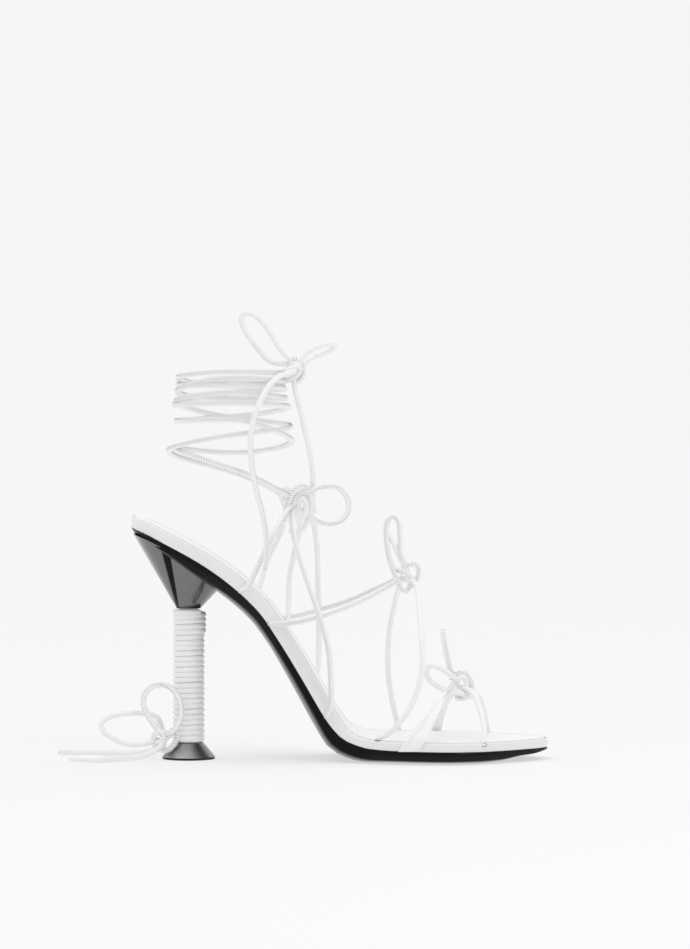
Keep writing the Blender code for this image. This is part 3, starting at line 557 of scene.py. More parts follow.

# %% [markdown]
# Each loop or end is a list of millimetres from its knot's middle, laid over the photograph. A
# loop comes back to the knot, and an end runs out to its cut. Beside each list stand the way that
# the sewn side faces and its twist to the metre.

# %% Routes of the bows
BOWS = {
    "mid_loop": ("mid_knot", True, ((0.8, -0.6, 0), 0.0), (
        (4.8, -1, 3.8), (8.3, -1, 6.4), (13.2, 0, 7.8), (19.1, 1, 7.4), (23, 1.5, 3.9),
        (25, 1, -1), (24, 0.5, -6), (20, 0, -9.6), (14, -1, -10.4),
        (8.6, -1.5, -8.6), (5.2, -2, -5.4),
    )),
    "instep_loop": ("instep_knot", True, ((-0.45, -1, 0), 0.0), (
        (-0.6, -1.2, 4.9), (-2.6, -1, 10.1), (-3, 0, 18.5), (-3.8, 0.5, 25.4),
        (-6.2, 0.8, 27.9), (-8.9, 0.6, 26.1), (-9.9, 0.3, 21.5), (-9.4, 0, 13.6),
        (-7.9, 0, 6.2), (-5.8, 0, 2),
    )),
    "toe_loop_tall": ("toe_knot", True, ((0.3, -1, 0), 0.0), (
        (-3.9, -1.7, 2.4), (-5.6, -3.4, 6), (-6.9, -4.4, 11.6), (-8.3, -3.6, 18.9),
        (-9.3, 0, 24.6), (-8.3, 3.6, 18.9), (-6.9, 4.4, 11.6), (-5.6, 3.4, 6),
        (-3.9, 1.7, 2.4),
    )),
    "toe_loop_low": ("toe_knot", True, ((0, 1, 0), 0.0), (
        (-2.4, -4.9, 0.8), (-6, -7.6, 3.4), (-9, -8, 5.7), (-12.7, -8, 7.4),
        (-16, -7.5, 7.2), (-17.4, -7, 4.2), (-15.2, -6.5, 0.3), (-11, -6.5, -3),
        (-7, -6, -4.2),
    )),
    "top_loop_tall": ("top_knot", True, ((0, 1, 0), 0.0), (
        (-4.6, 0.6, 3.2), (-8, 0.8, 3.4), (-11.8, 1, 4.6), (-15.7, 1, 8.4),
        (-20.6, 0, 14.6), (-24, 0, 20.1), (-25.6, 0, 24.3), (-24.4, 0, 27.3),
        (-21.6, 0, 27.9), (-18.1, 0, 26.2), (-14.7, 0, 23), (-10.8, 0, 17.6),
        (-7.8, -0.5, 12.3), (-4.2, -1, 7.8), (-1.4, -1.4, 5.2),
    )),
    "top_loop_short": ("top_knot", True, ((0, 1, 0.3), 0.0), (
        (2.8, -2.8, 4.2), (8.8, -2.6, 9.8), (13.7, -2, 11.8), (18.1, -1, 12.9),
        (20.3, 0.3, 11.9), (18.6, 1.6, 10), (12.7, 2.2, 7.6), (7.8, 2.2, 5.4),
        (4.9, 1.4, 2.6),
    )),
    "lace_end_long": ("top_knot", False, ((0.4, 1, 0), 22.0), (
        (0.6, -5.6, -0.8), (-3, -9.5, -1.8), (-6.9, -16.5, -3.4), (-10.8, -23, -7),
        (-13.7, -27.5, -11.3), (-17, -31, -18.6), (-19.1, -31.5, -25.5),
        (-20.3, -33, -36), (-19.6, -33.5, -46.6), (-17.6, -34, -58),
        (-14.7, -34, -68.6), (-13, -34, -78), (-12.5, -34, -86),
        (-13.2, -34, -96),
    )),
    "lace_end_short": ("top_knot", False, ((0, 1, 0), 9.0), (
        (0.2, -2.4, -5.2), (1.5, -4, -12.3), (3.4, -5.5, -19.6), (5.4, -6.5, -28.4),
        (7.4, -6.5, -36.8), (9.1, -3, -46.6), (9.5, 1.6, -55), (9.4, 4.4, -62),
        (10.2, 4.8, -70),
    )),
    "heel_loop_upper": ("heel_knot", True, ((-1, -0.35, 0.2), 0.0), (
        (-3.4, -2.4, 3.9), (-7, -3, 8.8), (-9.8, -3, 13.2), (-11.2, -3, 18.1),
        (-10.4, -3.4, 22.6), (-7, -4, 26), (-2.2, -4.8, 27), (2.4, -5.6, 25.5),
        (6, -6, 21.1), (7.4, -6.2, 15.2), (6.4, -6, 9.3), (3.8, -5.6, 5),
        (1, -5, 3.6),
    )),
    "heel_loop_left": ("heel_knot", True, ((0, 1, -0.6), 12.0), (
        (-1.9, 5.2, 1.6), (-2.8, 6.6, 5.4), (-5, 5.2, 10.4), (-10.4, 3.4, 12.5),
        (-17.8, 2, 12.7), (-25.1, 1, 11.8), (-30.5, 0, 9.8), (-32, -1, 7),
        (-30.5, -2, 3.6), (-26.6, -3, 1), (-21.7, -3.5, -1.3), (-15.3, -3, -2.3),
        (-9, -1.5, -1.6), (-5.2, 0, -0.4),
    )),
    "heel_end_back": ("heel_knot", False, ((0, 1, 0), 0.0), (
        (-3, 3.4, -4), (-9, 7, -6), (-16, 14, -7.6), (-27, 22, -8.3),
        (-37.5, 26, -8.35), (-48, 26.5, -8.35), (-54, 24, -8.35),
    )),
    "heel_end_front": ("heel_knot", False, ((0, 1, -0.4), 0.0), (
        (-1.8, -5, -2.4), (-6, -8.5, -5.2), (-12, -8.6, -7.6), (-18, -9.5, -8.3),
        (-25.5, -15, -8.35), (-33, -19, -8.35), (-40, -15.5, -8.35),
        (-46.5, -8, -8.35),
    )),
}

# %% [markdown]
# A curve object carries a route into the node tree, and its evaluated result is kept as a plain
# mesh, so that nothing is left to be worked out later. Cords that belong together are merged, and
# each finished piece rides the shoe and stands for its solid.

# %% A cord from a route
ROUTE_STEP = 0.0011


def lined(name, points):
    """A curve object through points, as the node tree's route."""
    data = bpy.data.curves.new(name + "_route", "CURVE")
    data.dimensions = "3D"
    spline = data.splines.new("POLY")
    spline.points.add(len(points) - 1)
    for target, place in zip(spline.points, points):
        target.co = (*place, 1)
    return shown(name + "_route", data)


def swept(
    name, points, facing=(0, -1, 0), twist=0.0, sewn=True, radius=CORD / 2, thread=STITCH_THREAD
):
    """A plain mesh of a cord along points, made by the node tree."""
    guide = lined(name, points)
    step = guide.modifiers.new("cord", "NODES")
    step.node_group = cord_tree
    values = {"Radius": radius, "Stitch Pitch": STITCH_PITCH, "Stitch Thread": thread}
    values |= {"Sewn Side Faces": [float(part) for part in facing], "Twist per Metre": twist}
    values |= {"Stitch Slant": STITCH_SLANT, "Sewn": sewn}
    values |= {"Cord Look": cord_look, "Stitch Look": stitch_shade_look}
    for key, value in values.items():
        step[CORD_KEYS[key]] = value
    graph = bpy.context.evaluated_depsgraph_get()
    mesh = bpy.data.meshes.new_from_object(guide.evaluated_get(graph))
    mesh.name = name
    bpy.data.objects.remove(guide)
    return shown(name, mesh)


def merged(name, parts):
    """Several pieces as one object, each face keeping its material."""
    bm = bmesh.new()
    looks = []
    for part in parts:
        order = []
        for look in part.data.materials:
            if look not in looks:
                looks.append(look)
            order.append(looks.index(look))
        before = len(bm.faces)
        bm.from_mesh(part.data)
        bm.faces.ensure_lookup_table()
        for face in bm.faces[before:]:
            face.material_index = order[face.material_index]
    mesh = bpy.data.meshes.new(name)
    bm.to_mesh(mesh)
    bm.free()
    for look in looks:
        mesh.materials.append(look)
    for part in parts:
        bpy.data.objects.remove(part)
    return shown(name, mesh)


def placed(piece, slot, *nodes):
    """The piece rides the shoe and stands for its solids; the slot is not used."""
    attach(piece, "root")
    if nodes:
        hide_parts(*nodes)
    return piece


# %% [markdown]
# A knot is a few short arcs of the same cord, laid over and under each other. Each list holds
# millimetres from the knot's middle, and the camera's side is the negative second number.

# %% Knots
KNOT_STEP = 0.0007
KNOT_SEWN, KNOT_TWIST = (0, -1, 0.3), 8.0
KNOTS = {
    "mid_knot": (
        (True, ((6.1, -0.6, 6.5), (3.4, -2.2, 7.6), (0.7, -3.4, 7.6), (-2.2, -4.2, 5),
                (-4.6, -4.4, 0.1), (-6, -4, -4.8), (-6.4, -3.2, -8.7))),
        (True, ((-2.6, -0.6, -5.4), (-3, -1.6, -1.4), (-1.4, -2.2, 2.1), (1.2, -2.4, 4.3),
                (3.8, -2.2, 5), (5.7, -2, 3), (6.2, -2, -0.9), (5.7, -1.8, -4.8),
                (4.8, -1.4, -8.2))),
        (False, ((0.4, -1, -3), (0.6, -2.4, -0.4), (1.7, -3, 1.6), (3.2, -3, 1.6),
                 (4.2, -3.2, -0.9), (4.1, -3.6, -4.8), (2.4, -3.8, -7.9), (-0.6, -3.4, -8.9))),
        (False, ((-3.6, 0.6, -13.4), (-2.2, 1, -14.9), (0.2, 1.2, -14.9), (2.8, 1.2, -13.1),
                 (4.4, 0.8, -9.7), (4.8, 0, -6.8))),
        (False, ((-3.6, 0.6, 5.6), (-5.4, 1.8, 6.6), (-7.2, 3, 6), (-8, 3.2, 3.6),
                 (-7.2, 2.6, 0.8), (-6, 1.4, -1.6))),
    ),
    "instep_knot": (
        (True, ((-0.4, -0.8, 2.6), (0.8, -1.4, 4), (2.5, -1.8, 4.8), (4.7, -1.6, 4.5),
                (6, -1.2, 2.5), (6.1, -0.8, -0.4), (5, -0.4, -3.3), (3.6, 0, -5.6))),
        (True, ((-2.6, -1.4, 0.9), (-1.2, -2.6, 1), (1, -3.2, -0.5), (2.6, -3.2, -2.2),
                (3.2, -2.8, -4.4), (2.7, -2, -6.4))),
        (True, ((-7.9, 0, 6.4), (-7.2, -1, 3.8), (-5.9, -2, 0.2), (-4.5, -2.8, -3.2),
                (-3, -3.4, -6.4), (-1.4, -3.8, -8.2), (0.4, -3.8, -8), (1.5, -3.8, -5.8),
                (1.4, -3.4, -3.2), (0.2, -2.6, -1.6))),
        (False, ((-9.2, 2.4, 18.6), (-7.4, 1.8, 17), (-5.6, 1, 13.5), (-3.4, 0, 8.6),
                 (-1.2, -1, 4.2), (0.6, -1, 0.4))),
    ),
    "toe_knot": (
        (True, ((-4.7, -1, 0.6), (-3.2, -1.8, 2.7), (-0.6, -2.2, 4.2), (2.4, -2.2, 3.4),
                (4.3, -2.2, 0.7), (5.3, -2.2, -2.7), (5.1, -2.2, -5.8), (3.3, -2.4, -7.8),
                (0.3, -2.4, -8.8), (-2.8, -2, -8.4))),
        (False, ((-2.3, -1.6, -2.4), (-2.1, -2.4, -0.6), (-0.9, -2.8, 1.3), (1.2, -2.8, 1.8),
                 (2.6, -2.8, -0.6), (2.3, -2.6, -3.6), (0.9, -2, -6))),
        (False, ((-8.2, -4.8, -9.4), (-5.5, -5.2, -6.4), (-2.5, -5.4, -5.4), (0.4, -5.2, -6.3),
                 (3.3, -4.6, -7.8), (6, -3.6, -7.2), (7.6, -3, -7.8))),
    ),
    "top_knot": (
        (True, ((-1.8, -0.6, 4), (-1, -1.4, 5.2), (1.2, -1.8, 5.6), (3.2, -1.8, 4.3),
                (4.6, -1.6, 1.5), (4.9, -1.6, -1.9), (3.7, -1.6, -4.3), (1.7, -1.6, -6.3))),
        (False, ((-1.8, -1.6, 1.6), (-0.2, -2.4, 2.8), (1.7, -2.8, 3), (3, -2.8, 1.6),
                 (3, -2.8, -0.6), (1.6, -2.8, -2.8), (-0.8, -2.6, -4.2), (-3.6, -2, -5.2),
                 (-6, -1.2, -5.6))),
        (False, ((3.4, -3.6, 2.4), (1.4, -4.8, 1.6), (-1.2, -5.2, 0.4), (-3.8, -4.8, -1.8),
                 (-5.6, -3.6, -4))),
    ),
    "heel_knot": (
        (True, ((-6.4, -0.8, 0.9), (-5.6, -1.8, -2.8), (-2, -2.4, -5.2), (1.6, -2.4, -4.4),
                (4, -2.2, -1.6), (5.6, -1, 1.2), (7.4, 1.4, 1.8))),
        (False, ((-5.6, -0.6, -2.2), (-6.6, -1.6, 0.6), (-5.4, -2.4, 3.2), (-3, -3, 4.1),
                 (-1, -3.2, 2), (-2.6, -3, -0.8), (-5, -2.4, -1.4))),
        (True, ((2.6, 0.2, 4.6), (2.4, -1.6, 2.8), (0.8, -3, 1.8), (-1.2, -3.6, -0.6),
                (-2, -3.4, -4))),
    ),
}

for name, arcs in KNOTS.items():
    knot = KNOT_AT[name][0]
    parts = []
    for number, (sewn, rows) in enumerate(arcs):
        points = curve_points([knot + mm(*row) for row in rows], KNOT_STEP)
        parts.append(swept(f"{name}_arc_{number}", points, KNOT_SEWN, KNOT_TWIST, sewn))
    placed(merged(name + "_turns", parts), "white_cord", name)
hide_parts("instep_lobe")
print("knots", len(KNOTS))

# %% [markdown]
# The loops and ends of the bows are free cords, and the length of each one is printed. Their
# routes are the same listed points as in the solid model.

for name, (knot_name, closed, facing, rows) in BOWS.items():
    knot, axis = KNOT_AT[knot_name]
    route = [knot + mm(*row) for row in rows]
    route = [seated(knot, axis, route[0]), *route]
    if closed:
        route.append(seated(knot, axis, route[-1]))
    points = curve_points(route, ROUTE_STEP)
    piece = placed(swept(name + "_cord", points, *facing), "white_cord", name)
    print(name, round(run_length(points) * 1000), "mm")

# %% [markdown]
# The straps are cords too, but they are sewn into the seam between the footbed and the sole unit.
# Each one runs down the rim's side and is tucked into that seam. The knots hold their other ends.

# %% Straps
def rim_over(along, side, away=CORD / 2 + 3 * GAP):
    """A cord's centre beside the rim, level with the footbed's top."""
    place = top_line(along)
    return Vector((place.x, side * (half_width(along, side) + away), place.z))


def on_sock(along, across, above=0.0):
    """A cord's place just above the sock, across in shares of BALL_WIDTH."""
    place = top_line(along) - down(along) * (4 * GAP + above)
    return Vector((place.x, across * BALL_WIDTH, place.z))


def seam_end(along, side):
    """The last stretch of a strap: close beside the rim, then in at the seam under it."""
    stretch = []
    for inward, above in ((0.80, 0.42), (-0.28, 0.56)):
        place = top_line(along) + down(along) * (rim_depth(along) - above * CORD)
        reach = half_width(along, side) - inward * CORD
        stretch.append(Vector((place.x, side * reach, place.z)))
    return stretch


# Each strap: its knot, where it is sewn in (along at the seam, along at the rim's top, side), the
# way its sewn side faces with its twist, and the places that it passes on its way to the knot
STRAPS = {
    "near_heel": ("mid", (-0.2205, -0.2165, -1), ((0.7, -1, -0.5), 0.0), (
        (-0.184, -0.38, 0.530), (-0.154, -0.36, 0.597), (-0.131, -0.20, 0.640),
    )),
    "far_heel": ("mid", (-0.200, -0.1975, 1), ((0, 1, 0), 0.0), (
        (-0.178, 0.39, 0.510), (-0.146, 0.38, 0.580), (-0.132, 0.22, 0.630),
    )),
    "near_waist": ("mid", (-0.0103, -0.021, -1), ((-0.8, -1, 0.2), 6.0), (
        (-0.022, -0.37, 0.225), (-0.028, -0.43, 0.300), (-0.050, -0.45, 0.385),
        (-0.078, -0.40, 0.470), (-0.103, -0.31, 0.550), (-0.116, -0.16, 0.615),
    )),
    "far_waist": ("mid", (-0.060, -0.056, 1), ((0, 1, 0), 0.0), (
        (-0.052, 0.47, 0.290), (-0.053, 0.50, 0.380), (-0.055, 0.45, 0.470),
        (-0.057, 0.36, 0.550), (-0.070, 0.20, 0.618),
    )),
    "far_rise": ("mid", (-0.135, -0.130, 1), ((0, 1, 0), 0.0), (
        (-0.124, 0.44, 0.460), (-0.112, 0.42, 0.530), (-0.098, 0.28, 0.600),
    )),
    "near_instep": ("instep", (-0.1446, -0.1355, -1), ((0, -1, 0.1), 0.0), (
        (-0.100, -0.36, 0.363), (-0.050, -0.44, 0.378), (0.010, -0.44, 0.400),
        (0.065, -0.37, 0.425), (0.115, -0.18, 0.450),
    )),
    "far_instep": ("instep", (-0.142, -0.1366, 1), ((0, -1, 0.2), 0.0), (
        (-0.104, 0.44, 0.3625), (-0.025, 0.50, 0.385), (0.025, 0.48, 0.403),
        (0.078, 0.38, 0.430), (0.122, 0.18, 0.455),
    )),
    "near_ball": ("instep", None, ((0.1, 1, 0), 9.0), (
        (0.134, -0.440, 0.099), (0.168, -0.470, 0.150), (0.193, -0.480, 0.230),
        (0.194, -0.430, 0.315), (0.189, -0.270, 0.400), (0.186, -0.160, 0.440),
        (0.177, -0.070, 0.459),
    )),
    "far_ball": ("instep", (0.146, 0.144, 1), ((0, 1, 0), 0.0), (
        (0.130, 0.500, 0.125), (0.118, 0.498, 0.210), (0.120, 0.460, 0.310),
        (0.135, 0.290, 0.405),
    )),
}
CROSSINGS = {"mid": spot(*MID_KNOT), "instep": spot(*INSTEP_KNOT)}
slit_out, slit_ahead = on_sock(0.092, -0.385, 2 * GAP), on_sock(0.112, -0.400, 6 * GAP)
slit_start = [slit_out + mm(-0.2, 0, -1.6), slit_out, slit_ahead]
STRAP_STEP = 0.0008

upper_parts = []
for name, (knot, sewn_in, facing, rows) in STRAPS.items():
    start = slit_start
    if sewn_in:
        seam, over, side = sewn_in
        start = [*seam_end(seam, side), rim_over(over, side)]
    route = [*start, *[spot(*row) for row in rows], CROSSINGS[knot]]
    points = relaxed(curve_points(route, STRAP_STEP), 2)
    upper_parts.append(swept(name, points, *facing))
upper = placed(merged("upper_cords", upper_parts), "white_cord", "upper_straps")
print("upper faces", len(upper.data.polygons))

# %% [markdown]
# The two ankle laces climb from the middle knot to the top one, crossing as they go. Each is
# a table of turns from the front, heights in shares of the ties' top and swells of the oval, so
# one short loop winds the whole lace.

# %% Ankle laces
LACE_COLUMNS = ("turn", "height", "swell")
LACE_NEAR_FIRST = (
    (0.09, 0.700, 1.02), (0.25, 0.756, 1.00), (0.50, 0.807, 1.12), (0.75, 0.793, 1.00),
    (1.00, 0.823, 1.14), (1.25, 0.880, 1.00), (1.50, 0.876, 1.06), (1.75, 0.888, 1.00),
    (2.00, 0.912, 1.08), (2.25, 0.922, 1.00), (2.50, 0.917, 1.10), (2.75, 0.951, 1.00),
    (3.00, 0.960, 1.00), (3.25, 0.967, 1.00), (3.50, 0.969, 1.02), (3.75, 0.985, 1.00),
    (3.96, 0.985, 0.96),
)
LACE_FAR_FIRST = (
    (0.09, 0.690, 1.02), (0.25, 0.741, 1.00), (0.50, 0.797, 1.20), (0.75, 0.840, 1.00),
    (1.00, 0.862, 1.12), (1.25, 0.885, 1.00), (1.50, 0.925, 1.06), (1.75, 0.949, 1.00),
    (2.00, 0.935, 1.02), (2.25, 0.934, 1.00), (2.50, 0.951, 1.04), (2.75, 0.985, 1.00),
    (3.00, 0.978, 1.00), (3.25, 0.969, 1.00), (3.50, 0.987, 1.02), (3.75, 1.003, 1.00),
    (3.96, 1.000, 0.96),
)
NEAR_FIRST_LEAVES, NEAR_FIRST_LANDS = (-0.26, -0.54, 0.80), (-5.6, 4.4, -1.6)
FAR_FIRST_LEAVES, FAR_FIRST_LANDS = (-0.62, 0.45, 0.64), (-5.6, -4.4, -0.6)
LACE_STEPS, LACE_ROUNDS = 26, 6
COIL_THREAD = 0.00016


def lace_points(rows, hand, way, lands):
    """A lace wound up round the ankle; hand is -1 to go by the inner side first."""
    mid, top = spot(*MID_KNOT), spot(*TOP_KNOT)
    way = Vector(way).normalized()
    turns = column(rows, LACE_COLUMNS, "turn")
    heights = column(rows, LACE_COLUMNS, "height")
    swells = column(rows, LACE_COLUMNS, "swell")
    points = [mid, mid + way * (CORE + 1.4 * CORD)]
    count = round((turns[-1] - turns[0]) * LACE_STEPS)
    for turn in np.linspace(turns[0], turns[-1], count):
        angle = hand * 2 * math.pi * turn
        swell = smooth(turns, swells, turn)
        x = ANKLE_X + swell * (ANKLE_LENGTH / 2) * math.cos(angle)
        y = swell * (ANKLE_WIDTH / 2) * math.sin(angle)
        points.append(Vector((x, y, smooth(turns, heights, turn) * TIE_TOP)))
    points.append(seated(top, TOP_AXIS, top + mm(*lands)))
    return relaxed(curve_points(points, ROUTE_STEP), LACE_ROUNDS)


near_first = lace_points(LACE_NEAR_FIRST, -1, NEAR_FIRST_LEAVES, NEAR_FIRST_LANDS)
far_first = lace_points(LACE_FAR_FIRST, 1, FAR_FIRST_LEAVES, FAR_FIRST_LANDS)
laces = [
    swept("near_first", near_first, (0, -1, 0.5), 0.0, thread=COIL_THREAD),
    swept("far_first", far_first, (0, -1, 0.3), 0.0, thread=COIL_THREAD),
]
ankle = placed(merged("ankle_cords", laces), "white_cord", "ankle_laces")
print("ankle faces", len(ankle.data.polygons))

# %% [markdown]
# A band over the toes is a flat strip that is gathered into a round cord at the knot. Its width
# follows a small table, and its section is a flattened oval that keeps the leather's thickness.

# %% Toe bands and toe cords
BAND_COLUMNS = ("share", "width", "thick", "aside")
BAND_SIDES = 20
LEVEL_CUT = 0.22
NEAR_BAND_ROWS = (
    (0.00, 1.18, 0.0014, 0.00),
    (0.14, 0.95, 0.0014, 0.00),
    (0.35, 0.70, 0.0016, 0.00),
    (0.60, 0.52, 0.0020, 0.00),
    (0.82, 0.37, 0.0025, 0.00),
    (1.00, 0.33, 0.0027, 0.00),
)
NEAR_FOLD_ROWS = (
    (0.00, 0.24, 0.0019, -0.44),
    (0.35, 0.26, 0.0020, -0.33),
    (0.60, 0.22, 0.0020, -0.22),
    (0.80, 0.14, 0.0018, -0.13),
    (1.00, 0.06, 0.0012, -0.06),
)
FAR_BAND_ROWS = (
    (0.00, 0.62, 0.0016, 0.00),
    (0.50, 0.54, 0.0018, 0.00),
    (1.00, 0.33, 0.0027, 0.00),
)


def meshed(name, bm, looks, sharp=None):
    """A finished object from faces, with normals out and edges sharp above an angle."""
    bmesh.ops.recalc_face_normals(bm, faces=bm.faces)
    mesh = bpy.data.meshes.new(name)
    bm.to_mesh(mesh)
    bm.free()
    for look in looks:
        mesh.materials.append(look)
    mesh.shade_smooth()
    if sharp:
        mesh.set_sharp_from_angle(angle=math.radians(sharp))
    return shown(name, mesh)


def skinned(rings):
    """Faces between rings of points, and one across each end."""
    bm = bmesh.new()
    levels = [[bm.verts.new(point) for point in ring] for ring in rings]
    count = len(rings[0])
    for lower, upper in zip(levels, levels[1:]):
        for i in range(count):
            j = (i + 1) % count
            bm.faces.new((lower[i], lower[j], upper[j], upper[i]))
    bm.faces.new(levels[0][::-1])
    bm.faces.new(levels[-1])
    return bm


def band(name, points, rows, outward, raised=0.0):
    """A flat strip along points; its rows give width and shift in shares of BAND_WIDTH."""
    shares = column(rows, BAND_COLUMNS, "share")
    widths = column(rows, BAND_COLUMNS, "width") * BAND_WIDTH
    thicks = column(rows, BAND_COLUMNS, "thick")
    asides = column(rows, BAND_COLUMNS, "aside") * BAND_WIDTH
    rings, last = [], len(points) - 1
    for i, place in enumerate(points):
        share = i / last
        ahead = (points[min(i + 1, last)] - points[max(i - 1, 0)]).normalized()
        normal = Vector(outward)
        normal = (normal - ahead * normal.dot(ahead)).normalized()
        across = ahead.cross(normal)
        level = max(0.0, 1 - share / LEVEL_CUT)
        across = across.lerp(Vector((math.copysign(1, across.x), 0, 0)), level).normalized()
        wide, thick = smooth(shares, widths, share), smooth(shares, thicks, share)
        middle = place + across * smooth(shares, asides, share) + normal * raised
        ring = []
        for k in range(BAND_SIDES):
            angle = 2 * math.pi * k / BAND_SIDES
            c, s = math.cos(angle), math.sin(angle)
            flat = 1 / (abs(c) ** 3 + abs(s) ** 3) ** (1 / 3)
            ring.append(
                middle + (across * (wide / 2 * flat * c) + normal * (thick / 2 * flat * s))
            )
        rings.append(ring)
    return meshed(name, skinned(rings), [cord_look])


def seam_foot(along, side, thick):
    """Where a flat band comes out of the seam, lying against the rim."""
    place = top_line(along) + down(along) * (rim_depth(along) - 0.1 * GAP)
    return Vector((place.x, side * (half_width(along, side) + thick / 2), place.z))


EYELET_ALONG = 0.3414
EYELET_PROUD = 0.0001
EYELET_DROP = 0.0009
NEAR_BAND_ALONG, FAR_BAND_ALONG, FAR_TOE_ALONG = 0.163, 0.232, 0.362
eyelet_reach = half_width(EYELET_ALONG, -1) + EYELET_PROUD
eyelet_at = Vector((EYELET_ALONG * LENGTH, -eyelet_reach, TOE_TOP - EYELET_DROP))
toe = spot(*TOE_KNOT)
near_band = [
    seam_foot(NEAR_BAND_ALONG, -1, 0.0014),
    seam_foot(NEAR_BAND_ALONG, -1, 0.0024) + mm(3.0, 0, 4.4),
    spot(0.196, -0.462, 0.0840), spot(0.2226, -0.360, 0.1275), spot(0.240, -0.215, 0.1500),
    toe_knot + mm(-8.0, -5.0, -9.0), toe_knot + mm(-5.5, -5.2, -6.4),
]
far_band = [
    seam_foot(FAR_BAND_ALONG, 1, 0.0016), rim_over(0.236, 1, 0.0010),
    spot(0.250, 0.440, 0.112), spot(0.268, 0.260, 0.155), toe,
]
near_toe = [
    eyelet_at + mm(-0.3, 2.6, -1.0), eyelet_at + mm(-0.2, 2.3, 1.2),
    spot(0.343, -0.360, 0.092), spot(0.334, -0.270, 0.137), spot(0.318, -0.140, 0.175), toe,
]
far_toe = [
    *seam_end(FAR_TOE_ALONG, 1), rim_over(FAR_TOE_ALONG, 1),
    spot(0.352, 0.360, 0.107), spot(0.338, 0.220, 0.155), toe,
]
BAND_STEP, FAR_BAND_STEP = 0.0010, 0.0012
NEAR_OUT, FAR_OUT = (-0.35, -1, 0.35), (-0.35, 1, 0.35)
FOLD_RAISED = 0.0005
fold = curve_points(near_band[:-1], BAND_STEP)
toe_parts = [
    band("near_band", curve_points(near_band, BAND_STEP), NEAR_BAND_ROWS, NEAR_OUT),
    band("near_fold", fold, NEAR_FOLD_ROWS, NEAR_OUT, FOLD_RAISED),
    band("far_band", curve_points(far_band, FAR_BAND_STEP), FAR_BAND_ROWS, FAR_OUT),
    swept("near_toe", curve_points(near_toe, ROUTE_STEP), sewn=False),
    swept("far_toe", curve_points(far_toe, ROUTE_STEP), (0, 1, 0)),
]
toe_cords = placed(merged("toe_cords", toe_parts), "white_cord", "toe_straps")
print("toe faces", len(toe_cords.data.polygons))

# %% [markdown]
# The sole unit, the footbed and the sock are lofts along the same table. The footbed is a board
# wrapped in leather, so its rim rolls over at the top, and a fine groove parts it from the sock.

# %% Sole lofts
def stations(start, end, count):
    """Shares of the length for the sections, closer together at both ends."""
    steps = np.linspace(0, math.pi, count)
    blend = 0.6 * (1 - np.cos(steps)) / 2 + 0.4 * np.linspace(0, 1, count)
    return [start + (end - start) * float(b) for b in blend]


def section(along, profile, inset):
    """A ring square to the sole; profile gives inset and depth pairs down the side."""
    middle, into = top_line(along), down(along)
    near, far = half_width(along, -1) - inset, half_width(along, 1) - inset
    centre, reach = (far - near) / 2, max((far + near) / 2, 0.0005)
    back = max(0.0, 1 - (along + 0.5) * LENGTH / HEEL_ROUND) ** 2
    ring = []
    for side in (1, -1):
        order = profile if side > 0 else profile[::-1]
        for inward, depth in order:
            across = centre + side * max(reach - inward, 0.0)
            place = middle + into * depth
            under = max(0.0, depth - rim_depth(along) - GAP) * UNDERCUT * back
            ring.append(Vector((place.x + under, across, max(place.z, 0.0))))
    return ring


WELD = 0.000001


def lofted(name, rings, look, sharp=50):
    """A closed piece through rings, with the doubled points at its tips welded."""
    bm = skinned(rings)
    bmesh.ops.remove_doubles(bm, verts=bm.verts, dist=WELD)
    return meshed(name, bm, [look], sharp)


def quarter(inset, depth, radius, steps=6):
    """A rounded corner from the top face down to the side, as inset and depth pairs."""
    turn = [math.pi / 2 * i / steps for i in range(steps + 1)]
    return [
        (inset + radius * (1 - math.sin(a)), depth + radius * (1 - math.cos(a))) for a in turn
    ]


SOLE_RINGS, OUTSOLE_RINGS = 110, 120
OUTSOLE_BACK = -0.497
SEAM_GROOVE = 0.0005


def footbed_profile(along):
    """Across the groove, over the rolled rim, down the side and under."""
    deep = rim_depth(along)
    profile = [(0.0030, SOCK + GAP), (SOCK_INSET + 0.0002, SOCK + GAP)]
    profile += [(SOCK_INSET - 0.0001, SEAM_GROOVE), (SOCK_INSET - 0.0003, 0.00025)]
    profile += quarter(0.0, 0.0001, 0.0011)
    profile += [(0.0, 0.45 * deep), (0.0, deep - 0.0007)]
    profile += [(0.00015, deep - 0.0003), (0.0005, deep)]
    return profile


def outsole_profile(along):
    rim = rim_depth(along) + GAP
    edge = sole("edge", along) * OUTSOLE
    belly = sole("belly", along) * OUTSOLE
    profile = [(0.004, rim), (0.0004, rim), (0.0001, rim + 0.0001), (0.0, rim + 0.0004)]
    profile.append((0.0, rim + 0.55 * edge))
    reach = (half_width(along, -1) + half_width(along, 1)) / 2 - OUTSOLE_INSET
    for i in range(14):
        angle = math.pi / 2 * i / 13
        bow = math.sin(angle) ** UNDERSIDE_BOW
        profile.append((reach * (1 - math.cos(angle)), rim + edge + (belly - edge) * bow))
    return profile


footbed_rings = [section(a, footbed_profile(a), 0.0) for a in stations(-0.5, 0.5, SOLE_RINGS)]
footbed = lofted("footbed_rim", footbed_rings, rim_look)
placed(footbed, "white_leather", "footbed")

sock_end = 0.5 - SOCK_INSET / LENGTH
sock_profile = [(0.004, 0.0), *quarter(0.0, 0.0, 0.0003, 4), (0.0, SOCK), (0.004, SOCK)]
sock_stations = stations(-sock_end, sock_end, SOLE_RINGS)
sock_rings = [section(a, sock_profile, SOCK_INSET) for a in sock_stations]
sock = lofted("sock_leather_top", sock_rings, sock_look)
placed(sock, "white_leather", "insole_sock")

outsole_stations = stations(OUTSOLE_BACK, 0.5, OUTSOLE_RINGS)
outsole_rings = [section(a, outsole_profile(a), OUTSOLE_INSET) for a in outsole_stations]
outsole = lofted("outsole_gloss", outsole_rings, gloss_look, sharp=35)
placed(outsole, "black_gloss", "outsole")
print("sole faces", [len(piece.data.polygons) for piece in (footbed, sock, outsole)])

